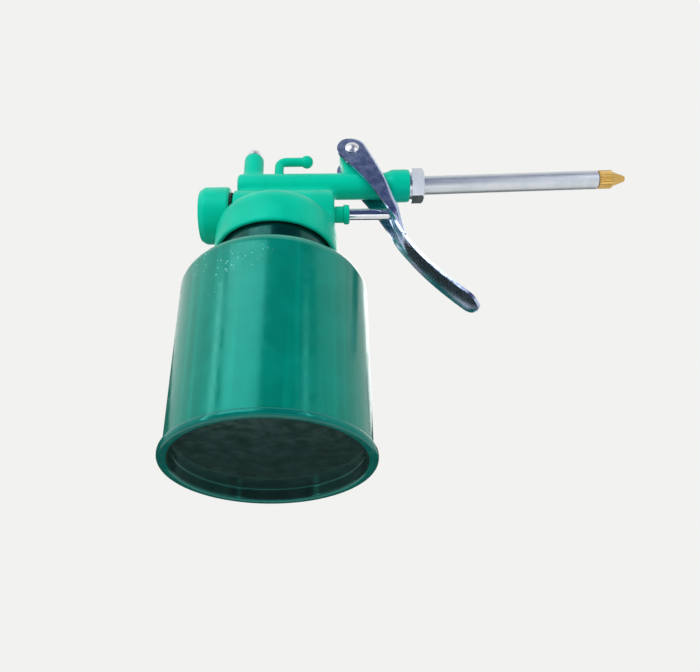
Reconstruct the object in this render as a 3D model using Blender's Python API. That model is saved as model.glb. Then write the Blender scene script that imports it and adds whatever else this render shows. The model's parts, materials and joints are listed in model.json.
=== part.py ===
"""Handy oiler can: a seamed steel can that carries a lever-worked plunger pump and a rigid spout.

World frame in metres, +Z up. The can stands on z = 0 and the spout points along +X. The origin is
under the middle of the whole object, so the can's own axis stands at x = CAN_AXIS_X. Every piece is
drawn from the can's axis and hangs on the empty can_axis.
"""

import math

import bmesh
import bpy
from mathutils import Matrix, Vector

MM = 0.001
GAP = 0.3 * MM  # play between two pieces that meet
PRESS = 0.05 * MM  # how far a window cutter reaches past the faces it follows

# Can
HEM_RADIUS = 40.0 * MM
HEM_HEIGHT = 2.8 * MM
HEM_WIDTH = 3.9 * MM
HEM_FLOOR = 1.2 * MM
HEM_ROUND = 0.7 * MM
PLATE_RECESS = 5.0 * MM
PLATE_WALL = 0.8 * MM
CAN_RADIUS = HEM_RADIUS - 1.7 * MM
CAN_WALL = 0.8 * MM
CAN_STRAIGHT = 73.4 * MM  # height where the wall starts to turn into the shoulder
SHOULDER_RADIUS = 6.0 * MM
TOP_RISE = 3.0 * MM  # from the shoulder's end up to the foot of the neck
NECK_HEIGHT = 16.8 * MM

# Pump head
BELL_LIFT = 11.7 * MM  # from the foot of the neck up to the bell's rim
BELL_RADIUS = 26.5 * MM
BELL_WALL = 2.2 * MM
BELL_ROUND = 9.5 * MM
BELL_HEIGHT = 21.9 * MM
PUMP_LIFT = 26.2 * MM  # from the bell's rim up to the pump's axis
BORE_RADIUS = 8.0 * MM
HOUSING_RADIUS = BORE_RADIUS + 3.3 * MM
HOUSING_REAR = -19.4 * MM
HOUSING_FRONT = 25.7 * MM
BORE_FRONT = 17.0 * MM
BARREL_RADIUS = 6.17 * MM
BARREL_REAR = -18.6 * MM
BARREL_SINK = 0.17 * MM  # how far the barrel reaches into the housing's round
WEB_HALF = 4.0 * MM
SPOUT_RADIUS = 4.29 * MM
SOCKET_RADIUS = SPOUT_RADIUS + 2.21 * MM
SOCKET_DEPTH = 9.0 * MM
COLLAR_RADIUS = SOCKET_RADIUS + 1.1 * MM
COLLAR_REAR = 50.5 * MM
COLLAR_FRONT = 61.0 * MM
DUCT_RADIUS = 1.8 * MM
BOSS_RADIUS = 4.75 * MM
BOSS_LIFT = 18.7 * MM  # from the barrel's axis up to the boss's top
BOSS_ROUND = 0.8 * MM

# Valves and inlet
VALVE_X = -11.8 * MM
PORT_RADIUS = 1.5 * MM
SEAT_DROP = 4.0 * MM  # from the barrel's axis down to the outlet valve's seat
CHAMBER_RADIUS = 2.6 * MM
PLUG_THREAD_RADIUS = 3.1 * MM
PLUG_THREAD_DEPTH = 6.6 * MM
PLUG_DOME_RADIUS = 3.4 * MM
OUTLET_BALL_RADIUS = 2.1 * MM
OUTLET_WIRE = 0.25 * MM
OUTLET_TURNS = 6
INLET_BOSS_RADIUS = 6.0 * MM
INLET_BOSS_DROP = 2.1 * MM  # below the bell's rim
INLET_BORE_RADIUS = 3.6 * MM
INLET_ROOF = 2.0 * MM  # between the inlet bore and the housing's round
INLET_BALL_RADIUS = 2.4 * MM
INLET_FLANGE = 2.0 * MM
DIP_RADIUS = 2.0 * MM
DIP_WALL = 0.6 * MM
DIP_BOTTOM = 11.0 * MM
STRAINER_RADIUS = 4.0 * MM
STRAINER_HEIGHT = 6.0 * MM
GASKET_HEIGHT = 2.2 * MM
GASKET_WIDTH = 3.0 * MM

# Rear cap
CAP_RADIUS = HOUSING_RADIUS + 1.4 * MM
CAP_LENGTH = 13.2 * MM
CAP_BEVEL = 1.5 * MM
CAP_WALL = 3.0 * MM
CAP_PLUG = 4.0 * MM
CAP_WASHER = 0.7 * MM

# Plunger
PISTON_LENGTH = 7.0 * MM
PISTON_FRONT = 16.0 * MM
RING_GROOVE = 2.2 * MM
RING_DEPTH = 1.8 * MM
ROD_RADIUS = 2.58 * MM
ROD_SHANK = 1.8 * MM  # where the rod screws into the piston
SHANK_DEPTH = 5.0 * MM
ROD_CLEAR = 0.45 * MM  # between the rod's tip and the lever at rest
RETURN_WIRE = 0.6 * MM
RETURN_TURNS = 7
GLAND_RADIUS = 4.4 * MM
GLAND_WAIST = 3.7 * MM
GLAND_LENGTH = 6.3 * MM
GLAND_FLANGE = 2.9 * MM
GLAND_BEVEL = 0.5 * MM
GLAND_THREAD_RADIUS = 3.9 * MM
GLAND_THREAD_DEPTH = 6.0 * MM
PACKING_LENGTH = 2.2 * MM

# Stop key
KEY_X = 0.1 * MM
KEY_SPINDLE_RADIUS = 2.9 * MM
KEY_STEM_RADIUS = 2.15 * MM
KEY_WAIST = 1.6 * MM  # the groove that the ring sits in
KEY_ARM_LIFT = 16.1 * MM  # from the barrel's axis up to the arm's axis
KEY_REACH = 12.9 * MM
KEY_BEND = 3.4 * MM
KEY_BALL_RADIUS = 3.05 * MM
KEY_HOLE_RADIUS = 1.2 * MM
KEY_RING = 1.2 * MM

# Lever and its pivot
PIVOT_X = 34.3 * MM
PIVOT_LIFT = 16.8 * MM  # from the barrel's axis up to the pivot
EAR_RADIUS = 7.0 * MM
LEVER_SHEET = 1.2 * MM
LEVER_CLEAR = 0.63 * MM  # between a flank and the barrel
LEVER_HALF = BARREL_RADIUS + LEVER_CLEAR + LEVER_SHEET
GRIP_HALF = 6.2 * MM
LEVER_BEND = 3.0 * MM
EAR_BEND = LEVER_SHEET + 0.3 * MM  # the ears stay flat almost to their edge
BEND_RUN = (0.42, 0.7)
GRIP_DISH = 1.3 * MM
SPINE_CLEAR = 0.7 * MM  # between the collar and the top of the lever's spine
LUG_HALF = 5.0 * MM
LUG_RADIUS = 6.0 * MM
LUG_FOOT = (-2.9 * MM, 6.2 * MM)  # from the pivot
RIVET_RADIUS = 2.1 * MM
RIVET_HEAD_RADIUS = 3.2 * MM
RIVET_HEAD_HEIGHT = 1.5 * MM
EAR_TILT = math.radians(61.9)  # how steeply the ears' round end points up and back
EAR_TURNS = (10, 25, 42, 60, 78)  # degrees round the ear's end
EDGE_STEPS = 10
DISH_RUN = (0.72, 1.25)  # stretch of the lever where the channel flattens into the grip's dish
TAPER_RUN = (0.75, 1.3)
TIP_RUN = (1.88, 2.01)
# Bezier points (x, z) in mm from the pivot: the lever's free edge and its spine, seen from the side
FREE_EDGE = (
    ((-5.8, -3.9), (4.3, -17.1), (13.5, -31.7), (19.0, -47.4)),
    ((19.0, -47.4), (24.1, -61.5), (37.5, -76.3), (49.2, -87.2)),
)
SPINE_EDGE = (
    ((6.45, 2.7), (13.1, -12.9), (19.4, -29.7), (22.6, -46.8)),
    ((22.6, -46.8), (25.8, -60.5), (39.2, -74.5), (50.9, -85.4)),
)

# Spout
SPOUT_RISE = math.radians(1.8)
SPOUT_WALL = 1.0 * MM
SPOUT_LENGTH = 95.0 * MM
SPOUT_INSET = 7.5 * MM
NUT_ACROSS = 2 * COLLAR_RADIUS - 1.3 * MM
NUT_LENGTH = 5.6 * MM
NUT_TURN = math.radians(-13.5)
NUT_CHAMFER = 1.2 * MM
FERRULE_LENGTH = 2.4 * MM
NOZZLE_RADIUS = SPOUT_RADIUS
NOZZLE_KNURL = 6.6 * MM
NOZZLE_CONE = 6.2 * MM
NOZZLE_TIP_RADIUS = 1.2 * MM
NOZZLE_EASE = 0.8 * MM  # step from the knurl to the cone
NOZZLE_SHANK = 8.0 * MM
NOZZLE_BORE = 0.7 * MM
KNURL_TEETH = 20
KNURL_DEPTH = 0.3 * MM

# Derived places
NECK_OUTER = BELL_RADIUS - BELL_WALL - GAP
SHOULDER_TOP = CAN_STRAIGHT + SHOULDER_RADIUS
NECK_FOOT = SHOULDER_TOP + TOP_RISE
NECK_TOP = NECK_FOOT + NECK_HEIGHT
BELL_BOTTOM = NECK_FOOT + BELL_LIFT
PUMP_Z = BELL_BOTTOM + PUMP_LIFT
BARREL_Z = PUMP_Z + HOUSING_RADIUS + BARREL_RADIUS - BARREL_SINK
BOSS_TOP = BARREL_Z + BOSS_LIFT
SEAT_Z = BARREL_Z - SEAT_DROP
KEY_ARM_Z = BARREL_Z + KEY_ARM_LIFT
PIVOT_Z = BARREL_Z + PIVOT_LIFT
SPINE_TOP = BARREL_Z - COLLAR_RADIUS - SPINE_CLEAR
INLET_BOSS_BOTTOM = BELL_BOTTOM - INLET_BOSS_DROP
INLET_BORE_TOP = PUMP_Z - HOUSING_RADIUS - INLET_ROOF
BELL_CEILING = NECK_TOP + GASKET_HEIGHT + 2 * GAP
PISTON_RADIUS = BORE_RADIUS - GAP
NOZZLE_REACH = SPOUT_LENGTH - SPOUT_INSET + GAP + NOZZLE_KNURL + NOZZLE_CONE
NOZZLE_TIP_X = COLLAR_FRONT + NOZZLE_REACH * math.cos(SPOUT_RISE)
NOZZLE_TIP_X += NOZZLE_TIP_RADIUS * math.sin(SPOUT_RISE)
CAN_AXIS_X = (HEM_RADIUS - NOZZLE_TIP_X) / 2

AXIS_Z = Matrix.Identity(4)
AXIS_X = Matrix.Rotation(math.radians(90), 4, "Y")  # a profile's height runs along +X
SHARP = math.radians(35)
EPS = 1e-7


def clear_scene():
    for old in list(bpy.data.objects):
        bpy.data.objects.remove(old, do_unlink=True)


def make_material(name, colour, roughness, metallic=0.0, coat=0.0):
    made = bpy.data.materials.new(name)
    made.use_nodes = True
    shader = made.node_tree.nodes["Principled BSDF"]
    shader.inputs["Base Color"].default_value = (*colour, 1.0)
    shader.inputs["Roughness"].default_value = roughness
    shader.inputs["Metallic"].default_value = metallic
    shader.inputs["Coat Weight"].default_value = coat
    return made


def mesh_object(name, work, finish=None, helper=False):
    """Turns a bmesh into an object on the can's axis. A helper only cuts or joins, and isn't a piece."""
    bmesh.ops.remove_doubles(work, verts=work.verts, dist=EPS)
    loose = [edge for edge in work.edges if not edge.link_faces]
    bmesh.ops.delete(work, geom=loose, context="EDGES")
    bmesh.ops.recalc_face_normals(work, faces=work.faces)
    data = bpy.data.meshes.new(name)
    work.to_mesh(data)
    work.free()
    data.shade_smooth()
    data.set_sharp_from_angle(angle=SHARP)
    made = bpy.data.objects.new(name, data)
    bpy.context.scene.collection.objects.link(made)
    if finish:
        data.materials.append(finish)
    if helper:
        made.hide_render = True
        made.display_type = "WIRE"
    made.parent = bpy.data.objects.get("can_axis")
    return made


def turned_mesh(profile, axis=AXIS_Z, segments=32, place=(0, 0, 0)):
    """A closed profile of (radius, height) points spun right round its axis."""
    work = bmesh.new()
    rim = [work.verts.new((radius, 0, height)) for radius, height in profile]
    edges = [work.edges.new(pair) for pair in zip(rim, rim[1:] + rim[:1])]
    bmesh.ops.spin(
        work,
        geom=rim + edges,
        cent=(0, 0, 0),
        axis=(0, 0, 1),
        angle=math.tau,
        steps=segments,
        use_merge=True,
    )
    bmesh.ops.transform(work, matrix=Matrix.Translation(place) @ axis, verts=work.verts)
    return work


def turned(name, profile, finish=None, axis=AXIS_Z, segments=32, place=(0, 0, 0), helper=False):
    return mesh_object(name, turned_mesh(profile, axis, segments, place), finish, helper)


def rod_profile(radius, start, end):
    return [(0, start), (radius, start), (radius, end), (0, end)]


def ring_profile(inner, outer, start, end):
    return [(inner, start), (outer, start), (outer, end), (inner, end)]


def arc(centre, radius, first, last, steps=4):
    """Points (radius, height) on a round, with angles in degrees from the outward direction."""
    angles = [math.radians(first + (last - first) * i / steps) for i in range(steps + 1)]
    return [(centre[0] + radius * math.cos(a), centre[1] + radius * math.sin(a)) for a in angles]


def prism(name, outline, low_y, high_y, finish=None, helper=False):
    """An outline of (x, z) points extruded along Y."""
    work = bmesh.new()
    face = work.faces.new([work.verts.new((x, low_y, z)) for x, z in outline])
    grown = bmesh.ops.extrude_face_region(work, geom=[face])["geom"]
    moved = [item for item in grown if isinstance(item, bmesh.types.BMVert)]
    bmesh.ops.translate(work, verts=moved, vec=(0, high_y - low_y, 0))
    return mesh_object(name, work, finish, helper)


def lofted(name, loops, finish=None, helper=False):
    """Joins closed loops of equal length into a skin and caps its two ends."""
    work = bmesh.new()
    rings = [[work.verts.new(point) for point in loop] for loop in loops]
    for ring, following in zip(rings, rings[1:]):
        for i in range(len(ring)):
            j = (i + 1) % len(ring)
            work.faces.new((ring[i], ring[j], following[j], following[i]))
    work.faces.new(rings[0])
    work.faces.new(rings[-1][::-1])
    return mesh_object(name, work, finish, helper)


def swept(name, path, side, radius, sides=8, finish=None, helper=False):
    """A round bar along a path; side(i) is a direction square to the path at point i."""
    loops = []
    for i, point in enumerate(path):
        before = path[max(i - 1, 0)]
        after = path[min(i + 1, len(path) - 1)]
        along = (after - before).normalized()
        first = side(i).normalized()
        second = along.cross(first).normalized()
        turns = [math.tau * k / sides for k in range(sides)]
        loops.append([point + radius * (math.cos(t) * first + math.sin(t) * second) for t in turns])
    return lofted(name, loops, finish, helper)


def spring(name, axis, place, mean_radius, wire, length, turns, finish, per_turn=11):
    """A helix of round wire that starts at place and runs along the axis."""
    total = turns * per_turn
    turn = [math.tau * turns * i / total for i in range(total + 1)]
    rise = [wire + (length - 2 * wire) * i / total for i in range(total + 1)]
    frame = Matrix.Translation(place) @ axis
    outward = [Vector((math.cos(t), math.sin(t), 0)) for t in turn]
    path = [frame @ (mean_radius * o + Vector((0, 0, h))) for o, h in zip(outward, rise)]
    turned_side = frame.to_3x3()
    return swept(name, path, lambda i: turned_side @ outward[i], wire, 5, finish)


def combine(target, operation, *helpers):
    """One Boolean step that joins, cuts or keeps what the helpers share with the target."""
    group = bpy.data.collections.new(f"{target.name}_{operation.lower()}")
    bpy.context.scene.collection.children.link(group)
    for helper in helpers:
        bpy.context.scene.collection.objects.unlink(helper)
        group.objects.link(helper)
    step = target.modifiers.new(group.name, "BOOLEAN")
    step.operation = operation
    step.operand_type = "COLLECTION"
    step.collection = group
    step.solver = "EXACT"


def move_origin(piece, place):
    """Sets the piece's origin on its joint's axis and leaves its shape where it is."""
    piece.data.transform(Matrix.Translation(-Vector(place)))
    piece.location = place


def bezier(points, t):
    """The (x, z) point at t on a cubic Bezier curve given in millimetres from the pivot."""
    weights = ((1 - t) ** 3, 3 * t * (1 - t) ** 2, 3 * t**2 * (1 - t), t**3)
    x = sum(w * p[0] for w, p in zip(weights, points)) * MM
    z = sum(w * p[1] for w, p in zip(weights, points)) * MM
    return PIVOT_X + x, PIVOT_Z + z


def smooth(value, start, end):
    t = min(max((value - start) / (end - start), 0.0), 1.0)
    return t * t * (3 - 2 * t)


def build_can(paint, inside):
    """The body with its shoulder and neck, and the seamed bottom that it stands on."""
    wall_foot = HEM_FLOOR + GAP
    slope = math.degrees(math.atan2(TOP_RISE, CAN_RADIUS - SHOULDER_RADIUS - NECK_OUTER))
    corner = CAN_RADIUS - SHOULDER_RADIUS
    outer = [(CAN_RADIUS, wall_foot)]
    outer += arc((corner, CAN_STRAIGHT), SHOULDER_RADIUS, 0, 90 - slope)
    outer += [(NECK_OUTER, NECK_FOOT), (NECK_OUTER, NECK_TOP)]
    inner_neck = NECK_OUTER - CAN_WALL
    inner = [(inner_neck, NECK_TOP), (inner_neck, NECK_FOOT - CAN_WALL)]
    inner += arc((corner, CAN_STRAIGHT), SHOULDER_RADIUS - CAN_WALL, 90 - slope, 0)
    inner += [(CAN_RADIUS - CAN_WALL, wall_foot)]
    turned("can_body", outer + inner, paint, segments=48)

    hem_inner = HEM_RADIUS - HEM_WIDTH
    leaf_inner = CAN_RADIUS + GAP
    groove_inner = CAN_RADIUS - CAN_WALL - GAP
    plate_edge = hem_inner - HEM_ROUND
    profile = [(0, PLATE_RECESS), (plate_edge, PLATE_RECESS)]
    profile += [(hem_inner, PLATE_RECESS - HEM_ROUND), (hem_inner, HEM_ROUND)]
    profile += [(hem_inner + HEM_ROUND, 0), (HEM_RADIUS - HEM_ROUND, 0)]
    profile += [(HEM_RADIUS, HEM_ROUND), (HEM_RADIUS, HEM_HEIGHT - HEM_ROUND)]
    profile += [(HEM_RADIUS - HEM_ROUND, HEM_HEIGHT), (leaf_inner, HEM_HEIGHT)]
    profile += [(leaf_inner, HEM_FLOOR), (groove_inner, HEM_FLOOR)]
    profile += [(groove_inner, PLATE_RECESS + PLATE_WALL), (0, PLATE_RECESS + PLATE_WALL)]
    turned("can_bottom", profile, inside, segments=48)


def build_head(paint):
    """The casting: bell, pump housing, delivery barrel, valve boss, lug and inlet boss."""
    bell_top = BELL_BOTTOM + BELL_HEIGHT
    bell_inner = BELL_RADIUS - BELL_WALL
    profile = [(bell_inner, BELL_BOTTOM), (BELL_RADIUS, BELL_BOTTOM)]
    profile += arc((BELL_RADIUS - BELL_ROUND, bell_top - BELL_ROUND), BELL_ROUND, 0, 90, 6)
    profile += [(0, bell_top), (0, BELL_CEILING), (bell_inner, BELL_CEILING)]
    head = turned("pump_head", profile, paint, segments=48)

    housing = turned(
        "housing_form",
        rod_profile(HOUSING_RADIUS, HOUSING_REAR, HOUSING_FRONT),
        axis=AXIS_X,
        segments=40,
        place=(0, 0, PUMP_Z),
        helper=True,
    )
    barrel = turned(
        "barrel_form",
        [
            (0, BARREL_REAR),
            (BARREL_RADIUS, BARREL_REAR),
            (BARREL_RADIUS, COLLAR_REAR),
            (COLLAR_RADIUS, COLLAR_REAR + (COLLAR_RADIUS - BARREL_RADIUS) / 2),
            (COLLAR_RADIUS, COLLAR_FRONT),
            (0, COLLAR_FRONT),
        ],
        axis=AXIS_X,
        place=(0, 0, BARREL_Z),
        helper=True,
    )
    web = prism(
        "web_form",
        [
            (BARREL_REAR + 2 * MM, PUMP_Z),
            (HOUSING_FRONT - 2 * MM, PUMP_Z),
            (HOUSING_FRONT - 2 * MM, BARREL_Z - MM),
            (BARREL_REAR + 2 * MM, BARREL_Z - MM),
        ],
        -WEB_HALF,
        WEB_HALF,
        helper=True,
    )
    boss = turned(
        "boss_form",
        [(0, BARREL_Z + 2 * MM), (BOSS_RADIUS, BARREL_Z + 2 * MM)]
        + arc((BOSS_RADIUS - BOSS_ROUND, BOSS_TOP - BOSS_ROUND), BOSS_ROUND, 0, 90, 4)
        + [(0, BOSS_TOP)],
        segments=28,
        place=(VALVE_X, 0, 0),
        helper=True,
    )
    inlet = turned(
        "inlet_boss_form",
        rod_profile(INLET_BOSS_RADIUS, INLET_BOSS_BOTTOM, BELL_CEILING + GASKET_HEIGHT),
        segments=24,
        place=(VALVE_X, 0, 0),
        helper=True,
    )
    eye = [(PIVOT_X + r, PIVOT_Z + z) for r, z in arc((0, 0), LUG_RADIUS, 0, 180, 16)]
    foot = [(PIVOT_X + x, BARREL_Z + MM) for x in LUG_FOOT]
    lug = prism("lug_form", eye + foot, -LUG_HALF, LUG_HALF, helper=True)
    combine(head, "UNION", housing, barrel, web, boss, inlet, lug)

    cutters = [
        turned(
            "cap_relief_cutter",
            rod_profile(CAP_RADIUS + 2 * GAP, -2 * BELL_RADIUS, HOUSING_REAR),
            axis=AXIS_X,
            segments=48,
            place=(0, 0, PUMP_Z),
            helper=True,
        ),
        turned(
            "bore_cutter",
            rod_profile(BORE_RADIUS, HOUSING_REAR - 5 * MM, BORE_FRONT),
            axis=AXIS_X,
            place=(0, 0, PUMP_Z),
            helper=True,
        ),
        turned(
            "rod_cutter",
            [
                (0, BORE_FRONT - MM),
                (ROD_RADIUS + GAP, BORE_FRONT - MM),
                (ROD_RADIUS + GAP, HOUSING_FRONT - GLAND_THREAD_DEPTH),
                (GLAND_THREAD_RADIUS, HOUSING_FRONT - GLAND_THREAD_DEPTH),
                (GLAND_THREAD_RADIUS, HOUSING_FRONT + 5 * MM),
                (0, HOUSING_FRONT + 5 * MM),
            ],
            axis=AXIS_X,
            segments=24,
            place=(0, 0, PUMP_Z),
            helper=True,
        ),
        turned(
            "duct_cutter",
            [
                (0, VALVE_X),
                (DUCT_RADIUS, VALVE_X),
                (DUCT_RADIUS, COLLAR_FRONT - SPOUT_INSET - 2 * MM),
                (SPOUT_RADIUS + 2 * GAP, COLLAR_FRONT - SPOUT_INSET - 2 * MM),
                (SPOUT_RADIUS + 2 * GAP, COLLAR_FRONT - SOCKET_DEPTH),
                (SOCKET_RADIUS, COLLAR_FRONT - SOCKET_DEPTH),
                (SOCKET_RADIUS, COLLAR_FRONT + 5 * MM),
                (0, COLLAR_FRONT + 5 * MM),
            ],
            axis=AXIS_X,
            segments=24,
            place=(0, 0, BARREL_Z),
            helper=True,
        ),
        turned(
            "valve_cutter",
            [
                (0, PUMP_Z + MM),
                (PORT_RADIUS, PUMP_Z + MM),
                (PORT_RADIUS, SEAT_Z),
                (CHAMBER_RADIUS, SEAT_Z),
                (CHAMBER_RADIUS, BOSS_TOP - PLUG_THREAD_DEPTH),
                (PLUG_THREAD_RADIUS, BOSS_TOP - PLUG_THREAD_DEPTH),
                (PLUG_THREAD_RADIUS, BOSS_TOP + 5 * MM),
                (0, BOSS_TOP + 5 * MM),
            ],
            segments=20,
            place=(VALVE_X, 0, 0),
            helper=True,
        ),
        turned(
            "inlet_cutter",
            [
                (0, INLET_BOSS_BOTTOM - 5 * MM),
                (INLET_BORE_RADIUS, INLET_BOSS_BOTTOM - 5 * MM),
                (INLET_BORE_RADIUS, INLET_BORE_TOP),
                (PORT_RADIUS, INLET_BORE_TOP),
                (PORT_RADIUS, PUMP_Z - MM),
                (0, PUMP_Z - MM),
            ],
            segments=24,
            place=(VALVE_X, 0, 0),
            helper=True,
        ),
        turned(
            "key_cutter",
            rod_profile(
                KEY_SPINDLE_RADIUS + GAP,
                BARREL_Z - DUCT_RADIUS - 2 * MM,
                BARREL_Z + BARREL_RADIUS + 5 * MM,
            ),
            segments=24,
            place=(KEY_X, 0, 0),
            helper=True,
        ),
        turned(
            "pivot_cutter",
            rod_profile(RIVET_RADIUS + GAP, -LEVER_HALF, LEVER_HALF),
            axis=Matrix.Rotation(math.radians(90), 4, "X"),
            segments=20,
            place=(PIVOT_X, 0, PIVOT_Z),
            helper=True,
        ),
    ]
    combine(head, "DIFFERENCE", *cutters)


def build_rear_cap(paint, rubber):
    """The threaded cap that closes the pump housing, with its washer."""
    face = HOUSING_REAR - CAP_WASHER - 2 * GAP
    rear = face - CAP_LENGTH
    plug = BORE_RADIUS - GAP
    hollow = plug - CAP_WALL / 2
    profile = [(0, rear), (CAP_RADIUS - CAP_BEVEL, rear), (CAP_RADIUS, rear + CAP_BEVEL)]
    profile += [(CAP_RADIUS, face - CAP_BEVEL / 2), (CAP_RADIUS - CAP_BEVEL / 2, face)]
    profile += [(plug, face), (plug, face + CAP_PLUG), (hollow, face + CAP_PLUG)]
    profile += [(hollow, rear + CAP_WALL), (0, rear + CAP_WALL)]
    turned("rear_cap", profile, paint, AXIS_X, 40, (0, 0, PUMP_Z))
    washer = ring_profile(
        BORE_RADIUS + GAP, HOUSING_RADIUS - MM, HOUSING_REAR - CAP_WASHER - GAP, HOUSING_REAR - GAP
    )
    turned("cap_washer", washer, rubber, AXIS_X, 32, (0, 0, PUMP_Z))
    return rear + CAP_WALL


def rod_tip_x():
    """Where the rod ends: just short of the spine's inner face at the rod's height."""
    t = 0.5
    for _ in range(30):
        height = bezier(SPINE_EDGE[0], t)[1]
        t += (height - PUMP_Z) / (60 * MM)
    return bezier(SPINE_EDGE[0], t)[0] - LEVER_SHEET - ROD_CLEAR


def build_plunger(steel, rubber, spring_seat):
    """Piston, ring, rod, return spring, packing and gland nut on the pump's axis."""
    place = (0, 0, PUMP_Z)
    piston_rear = PISTON_FRONT - PISTON_LENGTH
    middle = (PISTON_FRONT + piston_rear) / 2
    groove = PISTON_RADIUS - RING_DEPTH
    shank_start = PISTON_FRONT - SHANK_DEPTH
    profile = [(0, piston_rear), (PISTON_RADIUS, piston_rear)]
    profile += [(PISTON_RADIUS, middle - RING_GROOVE / 2), (groove, middle - RING_GROOVE / 2)]
    profile += [(groove, middle + RING_GROOVE / 2), (PISTON_RADIUS, middle + RING_GROOVE / 2)]
    profile += [(PISTON_RADIUS, PISTON_FRONT), (ROD_SHANK + GAP, PISTON_FRONT)]
    profile += [(ROD_SHANK + GAP, shank_start), (0, shank_start)]
    move_origin(turned("piston", profile, steel, AXIS_X, 32, place), place)
    ring = ring_profile(
        groove + GAP, PISTON_RADIUS, middle - RING_GROOVE / 2 + GAP, middle + RING_GROOVE / 2 - GAP
    )
    move_origin(turned("piston_ring", ring, rubber, AXIS_X, 32, place), place)

    tip = rod_tip_x()
    rod = [(0, shank_start + GAP), (ROD_SHANK, shank_start + GAP)]
    rod += [(ROD_SHANK, PISTON_FRONT + GAP), (ROD_RADIUS, PISTON_FRONT + GAP)]
    dome = arc((0, tip - ROD_RADIUS), ROD_RADIUS, 0, 90, 4)
    move_origin(turned("plunger_rod", rod + dome, steel, AXIS_X, 24, place), place)

    length = piston_rear - GAP - (spring_seat + GAP)
    mean = BORE_RADIUS - GAP - CAP_WALL / 2 - RETURN_WIRE - 2 * GAP
    spring(
        "return_spring",
        AXIS_X,
        (spring_seat + GAP, 0, PUMP_Z),
        mean,
        RETURN_WIRE,
        length,
        RETURN_TURNS,
        steel,
    )


def build_gland(paint, rubber):
    """The gland nut that guides the rod, and the packing that it presses on."""
    bore = ROD_RADIUS + GAP
    thread = GLAND_THREAD_RADIUS - GAP
    inner_end = HOUSING_FRONT - GLAND_THREAD_DEPTH + GAP
    packing = ring_profile(bore, thread, inner_end, inner_end + PACKING_LENGTH)
    turned("rod_packing", packing, rubber, AXIS_X, 24, (0, 0, PUMP_Z))
    head = HOUSING_FRONT + GAP
    end = head + GLAND_LENGTH
    profile = [(bore, inner_end + PACKING_LENGTH + GAP), (thread, inner_end + PACKING_LENGTH + GAP)]
    profile += [(thread, head), (GLAND_WAIST, head), (GLAND_WAIST, end - GLAND_FLANGE)]
    profile += [(GLAND_RADIUS, end - GLAND_FLANGE + GLAND_BEVEL), (GLAND_RADIUS, end - GLAND_BEVEL)]
    profile += [(GLAND_RADIUS - GLAND_BEVEL, end), (bore, end)]
    turned("gland_nut", profile, paint, AXIS_X, 28, (0, 0, PUMP_Z))


def build_inlet(brass, steel, plastic):
    """The fitting under the head, its ball, the dip tube and the strainer."""
    place = (VALVE_X, 0, 0)
    shank = INLET_BORE_RADIUS - GAP
    flange_low = INLET_BOSS_BOTTOM - GAP - INLET_FLANGE
    cage = INLET_BORE_TOP - GAP
    ball_room = INLET_BALL_RADIUS + GAP
    seat = cage - 2 * ball_room
    tube_hole = DIP_RADIUS + GAP
    throat = DIP_RADIUS - DIP_WALL
    profile = [(tube_hole, flange_low), (INLET_BOSS_RADIUS, flange_low)]
    profile += [(INLET_BOSS_RADIUS, flange_low + INLET_FLANGE), (shank, flange_low + INLET_FLANGE)]
    profile += [(shank, cage), (ball_room, cage), (ball_room, seat), (throat, seat - MM)]
    profile += [(throat, seat - 3 * MM), (tube_hole, seat - 3 * MM)]
    turned("inlet_fitting", profile, brass, segments=24, place=place)

    reach = math.sqrt((INLET_BALL_RADIUS + GAP) ** 2 - throat**2)
    ball_z = seat + reach
    ball = arc((0, ball_z), INLET_BALL_RADIUS, -90, 90, 8)
    turned("inlet_ball", ball, steel, segments=16, place=place)

    top = seat - 3 * MM - GAP
    tube = ring_profile(DIP_RADIUS - DIP_WALL, DIP_RADIUS, DIP_BOTTOM, top)
    turned("dip_tube", tube, plastic, segments=20, place=place)

    low = DIP_BOTTOM - 2 * MM
    collar = DIP_RADIUS + GAP
    profile = [(0, low), (STRAINER_RADIUS, low), (STRAINER_RADIUS, low + STRAINER_HEIGHT * 0.6)]
    profile += [(collar + MM, low + STRAINER_HEIGHT), (collar, low + STRAINER_HEIGHT)]
    profile += [(collar, DIP_BOTTOM - GAP), (0, DIP_BOTTOM - GAP)]
    strainer = turned("dip_strainer", profile, brass, segments=24, place=place)
    slots = []
    for k in range(2):
        slot = prism(
            f"strainer_slot_{k}",
            [
                (-STRAINER_RADIUS - MM, low - MM),
                (STRAINER_RADIUS + MM, low - MM),
                (STRAINER_RADIUS + MM, low + MM),
                (-STRAINER_RADIUS - MM, low + MM),
            ],
            -0.5 * MM,
            0.5 * MM,
            helper=True,
        )
        slot.data.transform(Matrix.Rotation(math.radians(90 * k), 4, "Z"))
        slot.location = place
        slots.append(slot)
    combine(strainer, "DIFFERENCE", *slots)


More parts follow.
